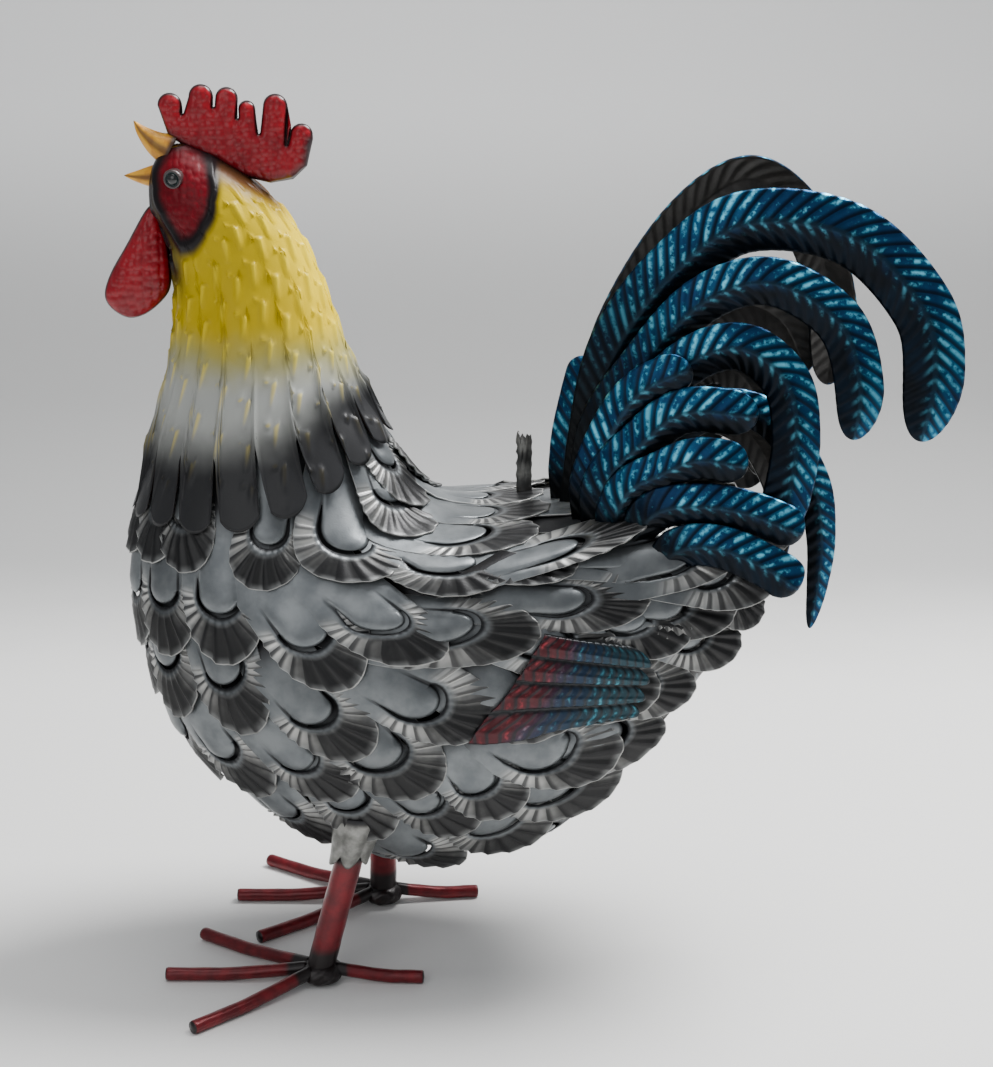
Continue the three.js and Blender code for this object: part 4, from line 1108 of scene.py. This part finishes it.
def wingShape(side):
    # Long feathers lie side by side, with rounded rear ends: across each strip the height is the 0.8th
    # power of its half circle, with a low spine, and chevron ribs are pressed into it.
    down = np.linspace(0, 1, wing["rows"])[None, :]
    along = np.linspace(0, 1, wing["columns"])[:, None]
    between = lambda ends, share: ends[0] + (ends[1] - ends[0]) * share
    upper, lower = between(wing["upper"], along), between(wing["lower"], along)
    angle = upper + (lower - upper) * down
    start, rear = between(wing["front"], down), between(wing["rear"], down)
    strip = down * wing["strips"]
    inStrip = 2 * (strip - np.floor(np.minimum(strip, wing["strips"] - 1e-6))) - 1
    rear = rear - wing["stripRound"] * (1 - np.sqrt(np.clip(1 - 0.96 * inStrip ** 2, 0, 1)))
    rear = rear - wing["endRound"] * (2 * down - 1) ** 4
    place = start + (rear - start) * along
    rib = along * wing["ribs"] - wing["ribLean"] * np.abs(inStrip)
    saw = sawTooth(rib - np.floor(rib), wing["ribCrest"])
    dome = wing["rise"] * np.sqrt(np.clip(1 - inStrip ** 2, 0, 1)) ** 0.8
    spine = wing["spine"] * np.exp(-(inStrip / 0.12) ** 2)
    ribs = wing["ribRise"] * (saw - 0.5) * smoothStep(np.abs(inStrip), 0.06, 0.2)
    lift = wing["lift"] + dome + spine + ribs
    lift = lift - wing["frontSink"] * (1 - smoothStep(along, 0.0, 0.12))
    points = skin(place, angle, lift)
    facing = skin(place, angle, lift + 5) - points
    flip = np.array([1, -side, 1])
    ones = np.ones_like(place)
    layers = {"along": along * ones, "rib": rib, "strip": np.abs(inStrip) * ones}
    return points * flip, gridFaces(wing["columns"], wing["rows"]), layers, facing * flip


for word, side in (("left", -1), ("right", 1)):
    points, faces, layers, facing = wingShape(side)
    makePiece("wing_feathers_" + word, points, faces, [wingLook, featherInner], layers,
              sheet=wing["sheet"], facing=facing, replaced=["wing_panel_" + word])


tail = {"fold": 5.6, "sheet": 1.5, "ribPitch": 8.4, "ribRise": 0.95, "ribLean": 0.95, "ribCrest": 0.72,
        "columns": 23, "rowPitch": 1.3, "rootWidth": 0.4, "rootEnd": 0.3,
        "endRounding": 0.1, "pointedEnd": 0.55, "covertWidth": 1.14}
# side, distance from the middle at root and end, width, and route from root to end, x and z
tailFeathers = {
    "tail_sickle_left_1": (-1, 15, 85, 66, [[80, 530], [97, 619], [131, 727], [186, 808], [260, 863],
                                            [369, 852], [445, 779], [462, 710], [451, 634]]),
    "tail_sickle_left_2": (-1, 31, 100, 52, [[90, 525], [103, 624], [151, 703], [214, 781], [286, 805],
                                             [357, 766], [381, 700], [377, 640]]),
    "tail_sickle_left_3": (-1, 48, 115, 52, [[96, 530], [102, 577], [159, 673], [211, 725], [262, 736],
                                             [305, 701], [316, 647], [311, 595], [294, 530]]),
    "tail_drooping_left": (-1, 22, 55, 41, [[128, 520], [160, 590], [230, 655], [294, 647], [342, 582],
                                            [355, 518], [353, 462], [346, 412]]),
    "tail_covert_left_1": (-1, 0, 2, 31, [[66, 530], [74, 575], [78, 619], [87, 664], [98, 708]]),
    "tail_covert_left_2": (-1, 61, 104, 41, [[92, 515], [102, 588], [124, 651], [152, 693], [203, 721]]),
    "tail_covert_left_3": (-1, 76, 115, 44, [[104, 500], [116, 588], [152, 636], [198, 673], [274, 671]]),
    "tail_covert_left_4": (-1, 87, 126, 41, [[118, 495], [135, 578], [174, 608], [214, 625], [264, 619]]),
    "tail_covert_left_5": (-1, 98, 140, 41, [[135, 500], [165, 562], [216, 575], [268, 569], [323, 549]]),
    "tail_covert_left_6": (-1, 107, 155, 42, [[165, 480], [190, 524], [235, 532], [290, 512], [318, 492]]),
    "tail_sickle_right_1": (1, 15, 85, 55, [[82, 530], [103, 625], [137, 734], [192, 828], [250, 882],
                                            [296, 884], [348, 828], [376, 740], [375, 654]]),
    "tail_sickle_right_2": (1, 31, 100, 46, [[92, 530], [105, 558], [161, 678], [227, 738], [277, 747],
                                             [323, 723], [353, 665]]),
    "tail_sickle_right_3": (1, 48, 115, 46, [[102, 520], [116, 547], [185, 641], [240, 678], [285, 654],
                                             [307, 599], [307, 538]]),
    "tail_drooping_right": (1, 22, 63, 37, [[126, 505], [165, 580], [222, 628], [280, 610], [318, 545],
                                            [324, 480], [315, 412]]),
    "tail_covert_right_1": (1, 63, 104, 39, [[92, 510], [106, 580], [130, 636], [165, 672], [207, 690]]),
    "tail_covert_right_2": (1, 80, 115, 41, [[106, 500], [122, 580], [160, 625], [205, 650], [262, 640]]),
    "tail_covert_right_3": (1, 89, 129, 39, [[120, 490], [140, 565], [180, 595], [220, 602], [266, 588]]),
    "tail_covert_right_4": (1, 100, 148, 39, [[132, 490], [160, 548], [216, 558], [268, 548], [312, 524]]),
}


def tailShape(side, start, end, width, route, rounding):
    # A strip along its route, folded up along the middle: its half width grows smoothly from the root
    # and closes as a quarter ellipse at the end, where the rows lie closer. Saw-tooth chevrons are
    # pressed slantwise into both halves. The fold falls off with the 1.15th power across.
    route = np.array(route, float) * permille
    length = np.linalg.norm(np.diff(route, axis=0), axis=1).sum()
    rows = int(length / tail["rowPitch"])
    shares = np.linspace(0, 1, rows)
    shares = np.where(shares > 0.8, 0.8 + 0.2 * np.sin((shares - 0.8) / 0.2 * np.pi / 2), shares)
    line = routePoints(route, shares)
    tangent = np.gradient(line, axis=0)
    tangent /= np.linalg.norm(tangent, axis=1)[:, None]
    rootTaper = tail["rootWidth"] + (1 - tail["rootWidth"]) * smoothStep(shares, 0, tail["rootEnd"])
    endTaper = np.sqrt(np.clip(1 - np.clip((shares - 1 + rounding) / rounding, 0, 1) ** 2, 0, 1))
    across = np.linspace(-1, 1, tail["columns"])[None, :]
    half = (width * permille / 2 * rootTaper * endTaper)[:, None]
    rib = shares[:, None] * length / tail["ribPitch"]
    rib = rib - tail["ribLean"] * np.abs(across) * half / tail["ribPitch"]
    saw = sawTooth(rib - np.floor(rib), tail["ribCrest"])
    c = across * half
    calm = smoothStep(np.abs(across), 0.05, 0.22) * smoothStep(shares[:, None], 0.02, 0.12)
    fold = (tail["fold"] * rootTaper * endTaper)[:, None] * (1 - np.abs(across) ** 1.15)
    n = fold + tail["ribRise"] * (saw - 0.5) * calm * endTaper[:, None]
    x = line[:, :1] - tangent[:, 1:] * c
    z = line[:, 1:] + tangent[:, :1] * c
    y = side * ((start + (end - start) * shares[:, None]) * permille + n)
    points = np.stack([x, y, z], axis=-1)
    facing = np.zeros_like(points)
    facing[..., 1] = side
    ones = np.ones_like(x)
    layers = {"across": -across * ones, "along": shares[:, None] * ones, "rib": rib * ones}
    return points, gridFaces(rows, tail["columns"]), layers, facing


for name, (side, start, end, width, route) in tailFeathers.items():
    kind = name.split("_")[1]
    rounding = tail["pointedEnd"] if kind == "drooping" else tail["endRounding"]
    width = width * (tail["covertWidth"] if kind == "covert" else 1)
    points, faces, layers, facing = tailShape(side, start, end, width, route, rounding)
    look = tailLook if side < 0 else tailFarLook
    makePiece(name.replace("tail_", "plume_"), points, faces, [look, tailInner], layers,
              sheet=tail["sheet"], facing=facing, replaced=[name])
print("wings and tail shaped")


legs = {
    "diameter": 17.5, "top": 277.3 * permille, "rootX": -133.1 * permille,
    "spacing": 198.3 * permille,
    # side, x of the foot, and heading of each toe
    "feet": {
        "left": (-1, -199.1 * permille, {"outer": 41.8, "middle": -0.5, "inner": -34.1, "rear": 177.5}),
        "right": (1, -138.6 * permille, {"outer": -33.5, "middle": -0.4, "inner": 37.4, "rear": 186.0}),
    },
    "hubHeight": 13.0, "hubDiameter": 26.0, "cuffBottom": 151.6 * permille, "cuffHeight": 34.0,
    "cuffTop": 36.0, "cuffSheet": 1.6, "cuffCut": 7.0, "cuffWave": 0.7, "cuffRoom": 3.4,
    "inWeld": 2.0, "toeInWeld": 5.0,    # how deep the tube and the rods stand in the weld
    "toe": 8.2, "front": 98.0, "rear": 63.7, "arch": 5.0, "archEnd": 0.62,
}


def legMiddle(footX, side, z):
    # the tube's axis at each height: a straight line from the hub to the root
    share = (z - legs["hubHeight"]) / (legs["top"] - legs["hubHeight"])
    x = footX + (legs["rootX"] - footX) * share
    return np.stack([x, side * legs["spacing"] / 2 + 0 * z, z], axis=-1)


def legShape(footX, side):
    # a round tube whose radius swells and sinks by two slow waves of its height and heading
    columns = 40
    low, high = legs["hubHeight"] - legs["inWeld"], legs["top"]
    z = np.concatenate([[low], np.linspace(low, high, 90), [high]])
    turn = wholeTurn(columns)[None, :]
    r = np.full(len(z), legs["diameter"] / 2)
    r[[0, -1]] = 0
    up = z[:, None]
    dents = 1 + 0.012 * np.sin(3 * turn + up * 0.11) + 0.01 * np.sin(up * 0.37 + 2 * turn)
    middle = legMiddle(footX, side, z)
    radius = r[:, None] * dents
    points = np.stack([middle[:, :1] + radius * np.cos(turn), middle[:, 1:2] + radius * np.sin(turn),
                       middle[:, 2:] + 0 * turn], axis=-1)
    # dark near the sooted weld hub, and painted shade from just under the cuff's lower edge upwards
    sootAndShade = (smoothStep(z, 34, 14) + smoothStep(z, 74, 90))[:, None] * np.ones_like(turn)
    return points, gridFaces(len(z), columns, True), {"sootAndShade": sootAndShade}


def cuffShape(footX, side):
    # a cone of steel round the top of the leg: its radius grows with the 1.3th power of the height,
    # and its lower edge is cut in six points by an absolute sine
    rows, columns = 24, 96
    turn = wholeTurn(columns)[None, :]
    share = np.linspace(0, 1, rows)[:, None]
    waves = 0.5 - 0.5 * np.cos(6 * turn)
    cut = legs["cuffCut"] * (1 - np.abs(np.sin(3 * turn)))
    z = legs["cuffBottom"] + cut * (1 - share) + legs["cuffHeight"] * share
    low = legs["diameter"] / 2 + legs["cuffRoom"]
    r = low + (legs["cuffTop"] / 2 - low) * share ** 1.3 + legs["cuffWave"] * waves * (1 - share)
    middle = legMiddle(footX, side, z)
    x, y = middle[..., 0] + r * np.cos(turn), middle[..., 1] + r * np.sin(turn)
    points = np.stack([x, y, z], axis=-1)
    facing = np.stack([np.cos(turn) + 0 * z, np.sin(turn) + 0 * z, 0 * z], axis=-1)
    sootAndShade = smoothStep(share, 0.75, 1.0) * np.ones_like(turn)
    return points, gridFaces(rows, columns, True), {"sootAndShade": sootAndShade}, facing


def hubShape(footX, side):
    # a lump of weld: a flattened ball, its radius rippled by two waves of height and heading
    rows, columns = 40, 60
    up = np.linspace(-np.pi / 2, np.pi / 2, rows)[:, None]
    turn = wholeTurn(columns)[None, :]
    slow, quick = 0.045 * np.sin(5 * turn + 2 * up), 0.03 * np.sin(9 * turn - 6 * up)
    ripple = 1 + slow * np.cos(up) + quick * np.cos(up)
    ring = np.cos(up) ** 0.55 * legs["hubDiameter"] / 2 * ripple
    height = legs["hubHeight"] / 2
    z = height + height * np.sin(up) + 0 * turn + 0.3
    middle = side * legs["spacing"] / 2
    points = np.stack([footX + ring * np.cos(turn), middle + ring * np.sin(turn), z], axis=-1)
    points[0] = points[0].mean(axis=0)
    points[-1] = points[-1].mean(axis=0)
    return points, gridFaces(rows, columns, True), {"sootAndShade": 0.75 + 0 * z}


def toeShape(footX, side, heading, length):
    # a round bar from inside the weld to its square-cut end, which comes down to the ground with the
    # 1.3th power of the way; below the ground it is cut flat
    rows, columns = 60, 28
    shares = np.linspace(0, 1, rows)
    r = legs["toe"] / 2
    direction = -np.array([math.cos(math.radians(heading)), math.sin(math.radians(heading))])
    across = np.array([-direction[1], direction[0]])
    start = legs["hubDiameter"] / 2 - legs["toeInWeld"]
    way = start + (length - start) * shares
    rise = r + legs["arch"] * np.clip(1 - shares / legs["archEnd"], 0, 1) ** 1.3
    turn = wholeTurn(columns)
    size = np.concatenate([[0, 0.94], np.ones(rows - 4), [0.9, 0]]) * r
    way[0] = way[1]
    way[-1] = way[-2] + 0.6
    wobble = 1 + 0.015 * np.sin(shares[:, None] * 23 + 3 * turn[None])
    c = size[:, None] * np.sin(turn)[None] * wobble
    v = np.maximum(size[:, None] * np.cos(turn)[None] * wobble + rise[:, None], 0.0)
    base = np.array([footX, side * legs["spacing"] / 2])
    flat = base + way[:, None, None] * direction + c[..., None] * across
    points = np.concatenate([flat, v[..., None]], axis=-1)
    sootAndShade = smoothStep(shares, 0.22, 0.08) + smoothStep(shares, 0.965, 0.99)
    return points, gridFaces(rows, columns, True), {"sootAndShade": sootAndShade[:, None] * np.ones(columns)}


for word, (side, footX, toes) in legs["feet"].items():
    points, faces, layers = legShape(footX, side)
    makePiece("painted_leg_" + word, points, faces, [rodLook], layers,
              replaced=["leg_" + word])
    points, faces, layers, facing = cuffShape(footX, side)
    makePiece("steel_cuff_" + word, points, faces, [steelLook, featherInner], layers,
              sheet=legs["cuffSheet"], facing=facing, replaced=["leg_cuff_" + word])
    points, faces, layers = hubShape(footX, side)
    makePiece("weld_lump_" + word, points, faces, [rodLook], layers,
              replaced=["foot_weld_" + word])
    for place, heading in toes.items():
        length = legs["rear"] if place == "rear" else legs["front"]
        points, faces, layers = toeShape(footX, side, heading, length)
        makePiece(f"rod_{place}_toe_{word}", points, faces, [rodLook], layers,
                  replaced=[f"{place}_toe_{word}"])

tab = {"x": 31, "low": 535, "high": 616, "width": 15, "offset": 33, "sheet": 3.0, "wall": 1.4,
       "bend": 1.4, "wave": 0.5, "torn": 0.12}


def tabShape():
    # an upright torn scrap: its sides and top are notched by absolute sines, and its face is bent by
    # 1 - across squared
    rows, columns = 60, 25
    across = np.linspace(-1, 1, columns)[None, :]
    up = np.linspace(0, 1, rows)[:, None]
    torn = tab["torn"] * np.abs(np.sin(up * 17)) * smoothStep(np.abs(across), 0.6, 1)
    half = tab["width"] * permille / 2 * (1 - torn)
    jag = 1 - 0.1 * np.abs(np.sin(across * 5.1 + 1)) - 0.06 * np.abs(np.sin(across * 11))
    x = tab["x"] * permille + across * half
    z = (tab["low"] + (tab["high"] - tab["low"]) * up * jag) * permille
    y = tab["offset"] * permille + tab["sheet"] / 2
    y = y - tab["bend"] * (1 - across ** 2) - tab["wave"] * np.sin(up * 9)
    points = np.stack([x, y + 0 * x, z], axis=-1)
    facing = np.zeros_like(points)
    facing[..., 1] = 1
    sootAndShade = 0.35 + 0.3 * np.sin(up * 7) ** 2 * np.ones_like(across)
    return points, gridFaces(rows, columns), {"sootAndShade": sootAndShade}, facing


points, faces, layers, facing = tabShape()
makePiece("torn_back_tab", points, faces, [steelLook], layers, sheet=tab["wall"], facing=facing,
          replaced=["back_tab"])
print("legs, feet and tab shaped")


stage = {"ground": (0.84, 0.835, 0.82), "wallLow": (0.47, 0.47, 0.465), "wallHigh": (0.8, 0.8, 0.795),
         "wallStart": 1.4, "bend": 0.8, "wallTop": 2.6, "halfWidth": 3.0, "near": -2.6}


def sweepShape():
    # floor that curves up into a wall behind the bird by a quarter circle, in metres
    turn = np.radians(np.linspace(0, 90, 24))
    r = stage["bend"]
    start = stage["wallStart"]
    y = np.concatenate([[stage["near"]], start + r * np.sin(turn), [start + r]])[:, None]
    z = np.concatenate([[0], r * (1 - np.cos(turn)), [stage["wallTop"]]])[:, None]
    x = np.linspace(-1, 1, 9)[None] * stage["halfWidth"]
    return np.stack([x + 0 * y, y + 0 * x, z + 0 * x], axis=-1)


material, shader = newMaterial("pale_ground", 0.7, 0.0)
cloud = noise(6, 4)
wall = mixed(ease(placePart(2), 0.02, 0.3), stage["wallLow"], stage["wallHigh"])
depth = step("MULTIPLY_ADD", cloud, 0.1, placePart(1))
feed(shader.inputs["Base Color"], mixed(ease(depth, 0.45, 0.85), stage["ground"], wall))
bump(shader, noise(300, 3), 0.3, 0.3)
points = sweepShape()
faces = gridFaces(*points.shape[:2])[:, ::-1]
mesh = bpy.data.meshes.new("pale_sweep")
mesh.from_pydata(points.reshape(-1, 3).tolist(), [], faces.tolist())
mesh.polygons.foreach_set("use_smooth", np.full(len(mesh.polygons), True))
mesh.materials.append(material)
sweep = bpy.data.objects.new("pale_sweep", mesh)
bpy.context.scene.collection.objects.link(sweep)


def areaLight(name, place, target, size, power):
    # a round soft lamp of this size in metres and power in watts, turned from its place to the target
    data = bpy.data.lights.new(name, "AREA")
    data.shape = "DISK"
    data.size = size
    data.energy = power
    lamp = bpy.data.objects.new(name, data)
    bpy.context.scene.collection.objects.link(lamp)
    lamp.location = place
    x, y, z = np.array(target) - np.array(place)
    lamp.rotation_euler = (math.atan2(math.hypot(x, y), -z), 0, math.atan2(x, -y) + math.pi)


world = bpy.data.worlds.new("soft_room")
world.use_nodes = True
sky = world.node_tree.nodes["Background"]
sky.inputs["Color"].default_value = (0.92, 0.95, 1.0, 1)
sky.inputs["Strength"].default_value = 0.36
bpy.context.scene.world = world
areaLight("window_above", (0.6, 0.25, 1.5), (0.0, 0.0, 0.3), 0.75, 48)
areaLight("soft_front", (-0.9, -1.7, 1.2), (0.0, 0.0, 0.2), 1.6, 8)
areaLight("wall_wash", (0.0, 0.1, 2.3), (0.0, 1.2, 0.4), 1.6, 24)

lens = bpy.data.cameras.new("photo_view")
lens.sensor_fit = "VERTICAL"
lens.sensor_height = 36.0
lens.lens = lens.sensor_height * view["focal"] / view["frameHeight"]
lens.clip_start = 0.05
lens.clip_end = 20.0
camera = bpy.data.objects.new("photo_view", lens)
bpy.context.scene.collection.objects.link(camera)
camera.location = (shift[0] / 1000, (shift[1] - view["back"]) / 1000, view["height"] / 1000)
camera.rotation_euler = (math.radians(90 - view["pitch"]), 0, 0)
bpy.context.scene.camera = camera
